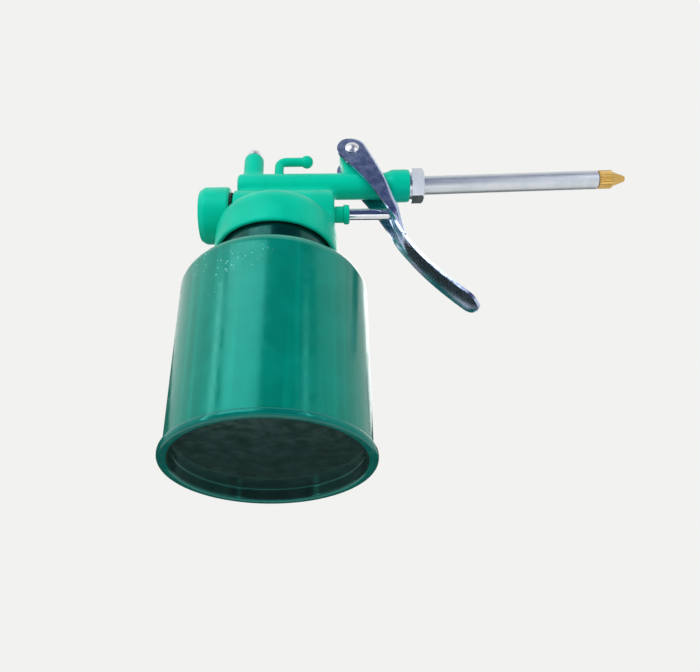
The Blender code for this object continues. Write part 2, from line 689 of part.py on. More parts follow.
def build_outlet(steel, chrome):
    """The outlet ball, its spring and the domed plug on top of the valve boss."""
    place = (VALVE_X, 0, 0)
    ball_z = SEAT_Z + math.sqrt((OUTLET_BALL_RADIUS + GAP / 2) ** 2 - PORT_RADIUS**2)
    ball = arc((0, ball_z), OUTLET_BALL_RADIUS, -90, 90, 8)
    turned("outlet_ball", ball, steel, segments=16, place=place)
    shank = PLUG_THREAD_RADIUS - GAP
    shank_low = BOSS_TOP - PLUG_THREAD_DEPTH + GAP
    seat = BOSS_TOP + GAP
    profile = [(0, shank_low), (shank, shank_low), (shank, seat), (PLUG_DOME_RADIUS, seat)]
    profile += arc((0, seat + MM), PLUG_DOME_RADIUS, 0, 90, 6)
    turned("valve_plug", profile, chrome, segments=28, place=place)
    start = ball_z + OUTLET_BALL_RADIUS + GAP
    spring(
        "outlet_spring",
        AXIS_Z,
        (VALVE_X, 0, start),
        CHAMBER_RADIUS - OUTLET_WIRE - 2 * GAP,
        OUTLET_WIRE,
        shank_low - GAP - start,
        OUTLET_TURNS,
        steel,
        9,
    )


def build_key(paint, rubber):
    """The stop key: a drilled spindle across the duct and a bent handle with a ball end."""
    low = BARREL_Z - DUCT_RADIUS - 2 * MM + GAP
    shoulder = BARREL_Z + DUCT_RADIUS + MM
    key = turned(
        "stop_key",
        [
            (0, low),
            (KEY_SPINDLE_RADIUS, low),
            (KEY_SPINDLE_RADIUS, shoulder),
            (KEY_WAIST, shoulder),
            (KEY_WAIST, shoulder + 2 * MM),
            (0, shoulder + 2 * MM),
        ],
        paint,
        segments=24,
        place=(KEY_X, 0, 0),
    )
    bend = arc((KEY_X + KEY_BEND, KEY_ARM_Z - KEY_BEND), KEY_BEND, 180, 90, 6)
    line = [(KEY_X, shoulder + MM)] + bend + [(KEY_X + KEY_REACH, KEY_ARM_Z)]
    path = [Vector((x, 0, z)) for x, z in line]
    arm = swept("key_arm_form", path, lambda i: Vector((0, 1, 0)), KEY_STEM_RADIUS, 16, helper=True)
    ball = turned(
        "key_ball_form",
        arc((0, KEY_ARM_Z), KEY_BALL_RADIUS, -90, 90, 10),
        segments=24,
        place=(KEY_X + KEY_REACH, 0, 0),
        helper=True,
    )
    hole = turned(
        "key_hole_cutter",
        rod_profile(KEY_HOLE_RADIUS, -5 * MM, 5 * MM),
        axis=AXIS_X,
        segments=16,
        place=(KEY_X, 0, BARREL_Z),
        helper=True,
    )
    combine(key, "UNION", arm, ball)
    combine(key, "DIFFERENCE", hole)
    ring = ring_profile(
        KEY_STEM_RADIUS + GAP / 2, KEY_SPINDLE_RADIUS, shoulder + GAP, shoulder + GAP + KEY_RING
    )
    turned("key_ring", ring, rubber, segments=20, place=(KEY_X, 0, 0))


def lever_section(free, spine, half, blend, bend):
    """The closed loop of one station: a U of sheet metal that blends into a shallow dish.

    The outer line runs from one free edge over the spine to the other; the inner line is that line
    moved in by the sheet's thickness.
    """
    across = Vector((spine[0] - free[0], 0, spine[1] - free[1]))
    depth = across.length
    across.normalize()
    bend = min(bend, depth * 0.8, half * 0.9)
    flank = [(-half, depth * 0.0), (-half, (depth - bend) * 0.5), (-half, depth - bend)]
    corner = [
        (-half + bend - bend * math.cos(math.radians(a)), depth - bend + bend * math.sin(math.radians(a)))
        for a in (22.5, 45, 67.5, 90)
    ]
    right_side = flank + corner + [(-(half - bend) * 0.5, depth), (0.0, depth)]
    outline = []
    steps = len(right_side) - 1
    for i, (y, d) in enumerate(right_side):
        dish_y = -half * (1 - i / steps)
        dish_d = LEVER_SHEET + GRIP_DISH * (1 - (dish_y / half) ** 2)
        outline.append((y + (dish_y - y) * blend, d + (dish_d - d) * blend))
    outline += [(-y, d) for y, d in reversed(outline[:-1])]
    inner = []
    for i, (y, d) in enumerate(outline):
        before = outline[max(i - 1, 0)]
        after = outline[min(i + 1, len(outline) - 1)]
        along_y = after[0] - before[0]
        along_d = after[1] - before[1]
        size = math.hypot(along_y, along_d)
        inner.append((y + LEVER_SHEET * along_d / size, d - LEVER_SHEET * along_y / size))
    start = Vector((free[0], 0, free[1]))
    loop = outline + inner[::-1]
    return [start + across * d + Vector((0, y, 0)) for y, d in loop]


def build_lever(chrome):
    """The pressed lever: two ears on the pivot, a channel, then a dished grip with a round end."""
    middle = Vector((PIVOT_X, PIVOT_Z))
    tip = Vector((-math.cos(EAR_TILT), math.sin(EAR_TILT))) * EAR_RADIUS
    stations = []
    for degrees in EAR_TURNS:
        left = middle + Matrix.Rotation(math.radians(degrees), 2) @ tip
        right = middle + Matrix.Rotation(-math.radians(degrees), 2) @ tip
        stations.append((left, right, 0.0))
    for part in range(2):
        for i in range(part, EDGE_STEPS + 1):
            t = i / EDGE_STEPS
            stations.append((bezier(FREE_EDGE[part], t), bezier(SPINE_EDGE[part], t), part + t))
    loops = []
    for free, spine, run in stations:
        half = LEVER_HALF + (GRIP_HALF - LEVER_HALF) * smooth(run, *TAPER_RUN)
        end = max(0.0, (run - TIP_RUN[0]) / (TIP_RUN[1] - TIP_RUN[0]))
        half *= math.sqrt(1 - end * end)
        bend = EAR_BEND + (LEVER_BEND - EAR_BEND) * smooth(run, *BEND_RUN)
        loops.append(lever_section(free, spine, half, smooth(run, *DISH_RUN), bend))
    lever = lofted("lever", loops, chrome)
    reach = PIVOT_Z + EAR_RADIUS + 5 * MM
    window_half = LEVER_HALF - LEVER_SHEET + PRESS
    window = prism(
        "lever_window_cutter",
        [(10 * MM, SPINE_TOP), (80 * MM, SPINE_TOP), (80 * MM, reach), (10 * MM, reach)],
        -window_half,
        window_half,
        helper=True,
    )
    hole = turned(
        "lever_hole_cutter",
        rod_profile(RIVET_RADIUS + GAP, -LEVER_HALF - 2 * MM, LEVER_HALF + 2 * MM),
        axis=Matrix.Rotation(math.radians(90), 4, "X"),
        segments=20,
        place=(PIVOT_X, 0, PIVOT_Z),
        helper=True,
    )
    pivot = (PIVOT_X, 0, PIVOT_Z)
    for piece in (lever, window, hole):
        move_origin(piece, pivot)
    combine(lever, "DIFFERENCE", window, hole)


def build_pivot(steel):
    """The rivet through both ears and the lug, and a washer on each side of the lug."""
    across = Matrix.Rotation(math.radians(-90), 4, "X")  # a profile's height runs along +Y
    place = (PIVOT_X, 0, PIVOT_Z)
    face = LEVER_HALF + GAP
    cap_radius = (RIVET_HEAD_RADIUS**2 + RIVET_HEAD_HEIGHT**2) / (2 * RIVET_HEAD_HEIGHT)
    start = math.degrees(math.acos(RIVET_HEAD_RADIUS / cap_radius))
    centre = face + RIVET_HEAD_HEIGHT - cap_radius
    head = arc((0, centre), cap_radius, start, 90, 3)
    upper = [(RIVET_RADIUS, face)] + head
    lower = [(r, -h) for r, h in reversed(upper)]
    turned("pivot_rivet", lower + upper, steel, across, 24, place)
    low = LUG_HALF + GAP
    high = LEVER_HALF - LEVER_SHEET - GAP
    for name, first, last in (("washer_front", -high, -low), ("washer_rear", low, high)):
        washer = ring_profile(RIVET_RADIUS + GAP, LUG_RADIUS - 1.2 * MM, first, last)
        turned(name, washer, steel, across, 20, place)


def build_spout(steel, aluminium, brass):
    """The ferrule, hex nut, tube and nozzle on the end of the barrel."""
    place = (COLLAR_FRONT, 0, BARREL_Z)
    bore = SPOUT_RADIUS + 2 * GAP
    thread = SOCKET_RADIUS - GAP
    ferrule_start = GAP - SOCKET_DEPTH
    tail_start = ferrule_start + FERRULE_LENGTH + GAP
    ferrule = ring_profile(bore, thread, ferrule_start, ferrule_start + FERRULE_LENGTH)
    turned("spout_ferrule", ferrule, brass, AXIS_X, 28, place)

    corner = NUT_ACROSS / math.sqrt(3)
    work = bmesh.new()
    made = bmesh.ops.create_cone(
        work, cap_ends=True, segments=6, radius1=corner, radius2=corner, depth=NUT_LENGTH
    )
    bmesh.ops.rotate(
        work, verts=made["verts"], matrix=Matrix.Rotation(NUT_TURN, 3, "Z")
    )
    middle = COLLAR_FRONT + GAP + NUT_LENGTH / 2
    bmesh.ops.transform(
        work, matrix=Matrix.Translation((middle, 0, BARREL_Z)) @ AXIS_X, verts=work.verts
    )
    nut = mesh_object("spout_nut", work, steel)
    chamfer = turned(
        "nut_chamfer_form",
        [
            (0, GAP - MM),
            (corner + MM, GAP - MM),
            (corner + MM, GAP + NUT_LENGTH - NUT_CHAMFER),
            (NUT_ACROSS / 2 - 0.2 * MM, GAP + NUT_LENGTH + 0.02 * MM),
            (0, GAP + NUT_LENGTH + 0.02 * MM),
        ],
        axis=AXIS_X,
        segments=36,
        place=place,
        helper=True,
    )
    tail = turned(
        "nut_tail_form",
        rod_profile(thread, tail_start, GAP + MM),
        axis=AXIS_X,
        segments=28,
        place=place,
        helper=True,
    )
    through = turned(
        "nut_bore_cutter",
        rod_profile(bore, -SOCKET_DEPTH, 2 * NUT_LENGTH),
        axis=AXIS_X,
        segments=28,
        place=place,
        helper=True,
    )
    combine(nut, "INTERSECT", chamfer)
    combine(nut, "UNION", tail)
    combine(nut, "DIFFERENCE", through)

    tilt = Matrix.Rotation(math.radians(90) - SPOUT_RISE, 4, "Y")
    end = SPOUT_LENGTH - SPOUT_INSET
    tube = ring_profile(SPOUT_RADIUS - SPOUT_WALL, SPOUT_RADIUS, -SPOUT_INSET, end)
    turned("spout_tube", tube, aluminium, tilt, 32, place)

    shank = SPOUT_RADIUS - SPOUT_WALL - GAP
    face = end + GAP
    tip = face + NOZZLE_KNURL + NOZZLE_CONE
    body = [(NOZZLE_BORE, face - NOZZLE_SHANK), (shank, face - NOZZLE_SHANK), (shank, face)]
    body += [(NOZZLE_RADIUS, face), (NOZZLE_RADIUS, face + NOZZLE_KNURL)]
    body += [(NOZZLE_RADIUS - NOZZLE_EASE, face + NOZZLE_KNURL + NOZZLE_EASE / 2)]
    body += [(NOZZLE_TIP_RADIUS, tip), (NOZZLE_BORE, tip)]
    nozzle = turned("nozzle_tip", body, brass, tilt, 2 * KNURL_TEETH, place)
    frame = Matrix.Translation(place) @ tilt
    back = frame.inverted()
    for vertex in nozzle.data.vertices:
        local = back @ vertex.co
        turn = math.atan2(local.y, local.x) / math.tau * KNURL_TEETH
        outer = math.hypot(local.x, local.y) > NOZZLE_RADIUS - KNURL_DEPTH / 2
        if outer and abs(turn - round(turn)) > 0.25:
            local.xy *= 1 - KNURL_DEPTH / NOZZLE_RADIUS
            vertex.co = frame @ local


def main():
    clear_scene()
    can_axis = bpy.data.objects.new("can_axis", None)
    bpy.context.scene.collection.objects.link(can_axis)
    can_axis.location.x = CAN_AXIS_X

    can_paint = make_material("can_enamel", (0.0, 0.21, 0.15), 0.15, coat=0.5)
    hem_paint = make_material("hem_enamel", (0.02, 0.13, 0.14), 0.2, coat=0.5)
    head_paint = make_material("head_enamel", (0.0, 0.48, 0.33), 0.4)
    steel = make_material("steel", (0.55, 0.56, 0.58), 0.3, 1.0)
    chrome = make_material("chrome", (0.7, 0.74, 0.8), 0.1, 1.0)
    aluminium = make_material("aluminium", (0.75, 0.77, 0.78), 0.35, 1.0)
    brass = make_material("brass", (0.8, 0.55, 0.18), 0.3, 1.0)
    rubber = make_material("rubber", (0.02, 0.02, 0.02), 0.8)
    plastic = make_material("plastic", (0.8, 0.8, 0.75), 0.4)

    build_can(can_paint, hem_paint)
    build_head(head_paint)
    gasket_low = NECK_TOP + GAP
    turned(
        "neck_gasket",
        ring_profile(NECK_OUTER - GASKET_WIDTH, NECK_OUTER, gasket_low, gasket_low + GASKET_HEIGHT),
        rubber,
        segments=48,
    )
    spring_seat = build_rear_cap(head_paint, rubber)
    build_plunger(steel, rubber, spring_seat)
    build_gland(head_paint, rubber)
    build_inlet(brass, steel, plastic)
    build_outlet(steel, chrome)
    build_key(head_paint, rubber)
    build_lever(chrome)
    build_pivot(chrome)
    build_spout(steel, aluminium, brass)


main()
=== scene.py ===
"""Looks of the handy oiler can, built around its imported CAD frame.

Lengths are in millimetres, measured from the can's own axis (x, y) and from the plane it stands on
(z); put_in_mesh turns them into metres in the CAD frame. Each shape is a grid of points worked out
as whole arrays: a surface turned round an axis, a polar surface whose radius changes with the
angle, or a section carried along a path.
"""

import functools
import json
import logging
import math
from dataclasses import dataclass
from enum import Enum

import bmesh
import bpy
import numpy as np
from mathutils import Matrix, Vector

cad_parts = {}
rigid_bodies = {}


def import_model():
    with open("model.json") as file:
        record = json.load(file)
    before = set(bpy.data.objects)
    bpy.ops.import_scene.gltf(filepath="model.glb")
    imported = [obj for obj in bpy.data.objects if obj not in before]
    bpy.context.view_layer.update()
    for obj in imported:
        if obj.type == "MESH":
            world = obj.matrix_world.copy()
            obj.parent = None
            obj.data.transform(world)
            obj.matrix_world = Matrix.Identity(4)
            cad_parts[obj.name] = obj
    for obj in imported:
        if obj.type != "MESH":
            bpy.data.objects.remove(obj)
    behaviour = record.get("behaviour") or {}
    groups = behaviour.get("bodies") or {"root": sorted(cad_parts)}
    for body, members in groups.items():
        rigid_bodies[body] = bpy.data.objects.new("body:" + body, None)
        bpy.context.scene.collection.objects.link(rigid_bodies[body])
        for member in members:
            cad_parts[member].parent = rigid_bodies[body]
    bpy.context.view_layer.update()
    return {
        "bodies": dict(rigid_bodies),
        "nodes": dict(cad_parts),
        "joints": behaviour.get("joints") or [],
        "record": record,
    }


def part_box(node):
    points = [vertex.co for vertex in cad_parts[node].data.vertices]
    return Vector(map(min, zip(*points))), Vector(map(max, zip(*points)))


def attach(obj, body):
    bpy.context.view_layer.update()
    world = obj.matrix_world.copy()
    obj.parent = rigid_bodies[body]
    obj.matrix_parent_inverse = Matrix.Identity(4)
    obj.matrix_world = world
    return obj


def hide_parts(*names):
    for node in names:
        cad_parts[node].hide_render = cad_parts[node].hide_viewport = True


LOG = logging.getLogger("oiler")
MM = 0.001
GAP = 0.3


class Body(Enum):
    """The CAD bodies that pieces ride on."""

    CAN = "can_and_head"
    LEVER = "lever"
    PLUNGER = "plunger"
    KEY = "stop_key"


class Slot(Enum):
    """The record's material slots."""

    CAN = "can_enamel"
    HEM = "hem_enamel"
    HEAD = "head_enamel"
    STEEL = "steel"
    BRIGHT = "polished_steel"
    CHROME = "chrome"
    ALUMINIUM = "aluminium"
    BRASS = "brass"


# ---------------------------------------------------------------- surfaces


@dataclass(frozen=True)
class Axis:
    """Where a turned piece stands: its origin and three directions, the last one along its axis."""

    origin: tuple[float, float, float]
    first: tuple[float, float, float] = (1.0, 0.0, 0.0)
    second: tuple[float, float, float] = (0.0, 1.0, 0.0)
    along: tuple[float, float, float] = (0.0, 0.0, 1.0)

    @classmethod
    def upright(cls, x: float = 0.0) -> "Axis":
        """A vertical axis at x, with heights measured from the standing plane."""
        return cls((x, 0.0, 0.0))

    @classmethod
    def level(cls, z: float, x: float = 0.0, rise: float = 0.0) -> "Axis":
        """An axis towards the spout at height z, which climbs by the angle rise in radians."""
        up = (-math.sin(rise), 0.0, math.cos(rise))
        return cls((x, 0.0, z), (0.0, 1.0, 0.0), up, (math.cos(rise), 0.0, math.sin(rise)))

    @classmethod
    def across(cls, x: float, z: float) -> "Axis":
        """An axis along +Y through (x, z), as the lever's pivot has."""
        return cls((x, 0.0, z), (0.0, 0.0, 1.0), (1.0, 0.0, 0.0), (0.0, 1.0, 0.0))

    def points(self, radius: np.ndarray, angle: np.ndarray, height: np.ndarray) -> np.ndarray:
        """Point = origin + radius (cos angle first + sin angle second) + height along."""
        flat = radius * np.cos(angle), radius * np.sin(angle), height + 0 * radius * angle
        frame = np.array([self.first, self.second, self.along])
        return np.stack(flat, axis=-1) @ frame + np.array(self.origin)


def grid_faces(rows: int, columns: int, wrap_rows: bool, wrap_columns: bool) -> np.ndarray:
    """Quads between neighbours on a grid of points stored row by row.

    Args:
        rows: number of rows.
        columns: number of points in a row.
        wrap_rows: whether the last row joins the first.
        wrap_columns: whether the last point of a row joins its first.

    Returns:
        An array of four point numbers a face.
    """
    row = np.arange(rows if wrap_rows else rows - 1)
    column = np.arange(columns if wrap_columns else columns - 1)
    i, j = np.meshgrid(row, column, indexing="ij")
    below, beside = (i + 1) % rows, (j + 1) % columns
    corners = (i * columns + j, i * columns + beside, below * columns + beside, below * columns + j)
    return np.stack(corners, axis=-1).reshape(-1, 4)


def axis_x() -> float:
    """The can axis's x in the CAD frame, in metres."""
    low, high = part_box("can_bottom")
    return (low.x + high.x) / 2


def put_in_mesh(name: str, points: np.ndarray, faces: np.ndarray, sharp: float = 42.0) -> bpy.types.Mesh:
    """Makes a closed mesh from points in millimetres, welded at its poles and facing out.

    Args:
        name: the mesh's name.
        points: any array whose last axis is x, y, z.
        faces: four point numbers a face.
        sharp: edges that turn by more degrees than this stay sharp in shading.

    Returns:
        The mesh, in metres in the CAD frame.
    """
    world = points.reshape(-1, 3) * MM + np.array([axis_x(), 0.0, 0.0])
    data = bpy.data.meshes.new(name)
    data.vertices.add(len(world))
    data.vertices.foreach_set("co", world.astype(np.float32).ravel())
    data.loops.add(faces.size)
    data.loops.foreach_set("vertex_index", faces.astype(np.int32).ravel())
    data.polygons.add(len(faces))
    data.polygons.foreach_set("loop_start", np.arange(0, faces.size, 4, dtype=np.int32))
    data.update(calc_edges=True)
    work = bmesh.new()
    work.from_mesh(data)
    bmesh.ops.remove_doubles(work, verts=work.verts, dist=2e-7)
    bmesh.ops.recalc_face_normals(work, faces=work.faces)
    work.to_mesh(data)
    work.free()
    data.shade_smooth()
    data.set_sharp_from_angle(angle=math.radians(sharp))
    return data


def eased(corners: list[tuple[float, ...]], closed: bool, steps: int = 6) -> np.ndarray:
    """Rounds the corners of a profile.

    Each corner C with neighbours gives the curve (1-t)^2 A + 2t(1-t) C + t^2 B, where A and B lie
    on the two sides at the corner's ease from C, and one point a little further out on each side.

    Args:
        corners: (radius, height, ease) for each corner; ease is 0 where two numbers are given.
        closed: whether the last corner joins the first; an open profile keeps its two ends.
        steps: spans in a rounded corner.

    Returns:
        The (radius, height) points of the rounded profile.
    """
    rows = np.array([(*corner, 0.0)[:3] for corner in corners])
    spot, ease = rows[:, :2], rows[:, 2:3].copy()
    before, after = np.roll(spot, 1, axis=0) - spot, np.roll(spot, -1, axis=0) - spot
    if not closed:
        ease[0] = ease[-1] = 0.0
    sides = [side / np.maximum(np.linalg.norm(side, axis=1, keepdims=True), 1e-9) for side in (before, after)]
    start, end = spot + sides[0] * ease, spot + sides[1] * ease
    t = np.linspace(0.0, 1.0, steps + 1)[None, :, None]
    curve = (1 - t) ** 2 * start[:, None] + 2 * t * (1 - t) * spot[:, None] + t**2 * end[:, None]
    outer = [(spot + side * ease * 1.12)[:, None] for side in sides]
    whole = np.concatenate([outer[0], curve, outer[1]], axis=1).reshape(-1, 2)
    fresh = np.linalg.norm(np.diff(whole, axis=0), axis=1) > 1e-5
    return np.concatenate([whole[:1], whole[1:][fresh]])


def arc(
    centre: tuple[float, float], radius: float, first: float, last: float, steps: int
) -> list[tuple[float, float]]:
    """Points centre + radius (cos a, sin a) for angles a from first to last, in degrees."""
    angles = np.radians(np.linspace(first, last, steps + 1))
    return list(zip(centre[0] + radius * np.cos(angles), centre[1] + radius * np.sin(angles)))


def turned(
    name: str, profile: np.ndarray | list, axis: Axis, closed: bool = False, segments: int = 160
) -> bpy.types.Mesh:
    """A profile carried round an axis: radius and height from the profile, angle from 0 to 2 pi.

    Args:
        name: the mesh's name.
        profile: (radius, height) points; an open profile starts and ends on the axis.
        axis: where it stands.
        closed: whether the profile is a loop, as a ring's is.
        segments: steps round the axis.

    Returns:
        The closed mesh.
    """
    rows = np.asarray(profile, dtype=float)
    angle = np.linspace(0, math.tau, segments, endpoint=False)
    points = axis.points(rows[:, :1], angle[None, :], rows[:, 1:])
    return put_in_mesh(name, points, grid_faces(len(rows), segments, closed, True))


def carried(name: str, path: np.ndarray, radius: np.ndarray, sides: int = 40) -> bpy.types.Mesh:
    """A round bar along a path in the plane y = 0, whose radius changes on its way.

    Point = path(s) + radius(s) (cos a Y + sin a N(s)), with N square to the path and to Y.

    Args:
        name: the mesh's name.
        path: (x, z) points.
        radius: the radius at each, 0 at both ends.
        sides: steps round the bar.

    Returns:
        The closed mesh.
    """
    along = np.gradient(path, axis=0)
    along /= np.linalg.norm(along, axis=1, keepdims=True)
    angle = np.linspace(0, math.tau, sides, endpoint=False)[None, :]
    reach = radius[:, None]
    x = path[:, :1] - along[:, 1:] * reach * np.sin(angle)
    z = path[:, 1:] + along[:, :1] * reach * np.sin(angle)
    points = np.stack([x, reach * np.cos(angle), z], axis=-1)
    return put_in_mesh(name, points, grid_faces(len(path), sides, False, True))


def slab(name: str, outline: list[tuple[float, float]], half: float) -> bpy.types.Mesh:
    """An outline of (x, z) points carried from -half to half along Y, with both ends closed.

    Each end is a fan of the outline shrunk to its middle: point = middle + s (outline - middle).
    """
    rim = np.array(outline, dtype=float)
    middle = rim.mean(axis=0)
    shrink = np.array([0.0, 1.0, 1.0, 0.0])[:, None, None]
    flat = middle + shrink * (rim[None] - middle)
    y = np.array([-half, -half, half, half])[:, None] + 0 * flat[..., 0]
    points = np.stack([flat[..., 0], y, flat[..., 1]], axis=-1)
    return put_in_mesh(name, points, grid_faces(4, len(rim), False, True))


def rod(radius: float, start: float, end: float) -> list[tuple[float, float]]:
    """The open profile of a plain cylinder."""
    return [(0, start), (radius, start), (radius, end), (0, end)]


def smooth_step(value: np.ndarray, start: float, end: float) -> np.ndarray:
    """3t^2 - 2t^3, with t going from 0 at start to 1 at end."""
    t = np.clip((value - start) / (end - start), 0.0, 1.0)
    return t * t * (3 - 2 * t)


# ---------------------------------------------------------------- pieces


def shown(name: str, data: bpy.types.Mesh) -> bpy.types.Object:
    """Links a new object that holds the mesh."""
    piece = bpy.data.objects.new(name, data)
    bpy.context.scene.collection.objects.link(piece)
    return piece


def settled(piece: bpy.types.Object) -> bpy.types.Object:
    """Turns the piece's modifiers into its mesh."""
    bpy.context.view_layer.update()
    graph = bpy.context.evaluated_depsgraph_get()
    final = bpy.data.meshes.new_from_object(piece.evaluated_get(graph))
    piece.modifiers.clear()
    piece.data = final
    return piece


def combined(piece: bpy.types.Object, operation: str, others: list[bpy.types.Mesh]) -> bpy.types.Object:
    """Joins or cuts the piece with closed meshes in one Boolean step, and keeps only the result."""
    group = bpy.data.collections.new(f"{piece.name}_{operation.lower()}")
    bpy.context.scene.collection.children.link(group)
    helpers = [bpy.data.objects.new(data.name, data) for data in others]
    for helper in helpers:
        group.objects.link(helper)
    step = piece.modifiers.new("combine", "BOOLEAN")
    step.operation = operation
    step.operand_type = "COLLECTION"
    step.collection = group
    step.solver = "EXACT"
    settled(piece)
    for helper in helpers:
        bpy.data.objects.remove(helper)
    bpy.data.collections.remove(group)
    return piece


def fitted(piece: bpy.types.Object, finish: "Finish", body: Body, slot: Slot, *nodes: str) -> bpy.types.Object:
    """Dresses a piece, makes it ride on its body and hides the CAD nodes that it stands for."""
    piece.data.materials.clear()
    piece.data.materials.append(material_of(finish))
    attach(piece, body.value)
    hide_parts(*nodes)
    LOG.info("%s: %d faces on %s", piece.name, len(piece.data.polygons), body.value)
    return piece


# ---------------------------------------------------------------- finishes


class Nodes:
    """Builds a material's node tree round its Principled shader, on Object coordinates."""

    def __init__(self, name: str) -> None:
        """Makes an empty material with that name."""
        self.material = bpy.data.materials.new(name)
        self.material.use_nodes = True
        self.tree = self.material.node_tree
        self.shader = self.tree.nodes["Principled BSDF"]
        self.place = self.tree.nodes.new("ShaderNodeTexCoord").outputs["Object"]

    def put(self, node: bpy.types.Node, **values: object) -> bpy.types.Node:
        """Sets inputs by name (spaces as _), joining a socket and copying anything else."""
        for key, value in values.items():
            target = node.inputs[key.replace("_", " ")]
            if isinstance(value, bpy.types.NodeSocket):
                self.tree.links.new(value, target)
            else:
                target.default_value = value
        return node

    def stretched(self, scale: tuple[float, float, float]) -> bpy.types.NodeSocket:
        """Coordinates scaled along each axis, so that a pattern stretches along the smallest scale."""
        node = self.tree.nodes.new("ShaderNodeMapping")
        return self.put(node, Vector=self.place, Scale=scale).outputs["Vector"]

    def noise(self, vector: bpy.types.NodeSocket, scale: float, detail: float = 2.0) -> bpy.types.NodeSocket:
        """Soft noise from 0 to 1, with scale in features a metre."""
        node = self.tree.nodes.new("ShaderNodeTexNoise")
        return self.put(node, Vector=vector, Scale=scale, Detail=detail).outputs["Fac"]

    def cells(self, scale: float) -> bpy.types.NodeSocket:
        """The distance to the nearest of scattered points."""
        node = self.tree.nodes.new("ShaderNodeTexVoronoi")
        return self.put(node, Vector=self.place, Scale=scale).outputs["Distance"]

    def distance(self, spot: tuple[float, float, float], flat: bool = False) -> bpy.types.NodeSocket:
        """The distance in millimetres from a spot, or from the upright line through it if flat."""
        node = self.tree.nodes.new("ShaderNodeMapping")
        size = 1 / MM
        where = (-spot[0] - axis_x() * size, -spot[1], 0.0 if flat else -spot[2])
        self.put(node, Vector=self.place, Scale=(size, size, 0.0 if flat else size), Location=where)
        length = self.tree.nodes.new("ShaderNodeVectorMath")
        length.operation = "LENGTH"
        self.tree.links.new(node.outputs["Vector"], length.inputs[0])
        return length.outputs["Value"]

    def ranged(self, value: bpy.types.NodeSocket, source: tuple, target: tuple) -> bpy.types.NodeSocket:
        """Maps source (low, high) to target (low, high) smoothly and clamped."""
        node = self.tree.nodes.new("ShaderNodeMapRange")
        node.interpolation_type = "SMOOTHSTEP"
        limits = {"From_Min": source[0], "From_Max": source[1], "To_Min": target[0], "To_Max": target[1]}
        return self.put(node, Value=value, **limits).outputs["Result"]

    def times(self, first: bpy.types.NodeSocket, second: bpy.types.NodeSocket) -> bpy.types.NodeSocket:
        """The product of two values."""
        node = self.tree.nodes.new("ShaderNodeMath")
        node.operation = "MULTIPLY"
        self.tree.links.new(first, node.inputs[0])
        self.tree.links.new(second, node.inputs[1])
        return node.outputs[0]

    def mixed(self, factor: bpy.types.NodeSocket, low: object, high: object) -> bpy.types.NodeSocket:
        """A colour between low and high."""
        node = self.tree.nodes.new("ShaderNodeMix")
        node.data_type = "RGBA"
        self.tree.links.new(factor, node.inputs[0])
        for target, value in zip(node.inputs[6:8], (low, high)):
            if isinstance(value, bpy.types.NodeSocket):
                self.tree.links.new(value, target)
            else:
                target.default_value = (*value, 1.0)
        return node.outputs[2]

    def bump(self, height: bpy.types.NodeSocket, depth: float, below: object = None) -> bpy.types.NodeSocket:
        """A normal that shows the height, depth millimetres deep, over another normal if given."""
        node = self.tree.nodes.new("ShaderNodeBump")
        self.put(node, Height=height, Distance=depth * MM)
        if below is not None:
            self.tree.links.new(below, node.inputs["Normal"])
        return node.outputs["Normal"]


class Finish:
    """A surface finish, which fills a node tree."""

    def dress(self, nodes: Nodes) -> None:
        """Sets the shader's inputs."""
        raise NotImplementedError


@functools.lru_cache(maxsize=None)
def material_of(finish: Finish) -> bpy.types.Material:
    """The one material made for a finish."""
    nodes = Nodes(finish.name)
    finish.dress(nodes)
    return nodes.material


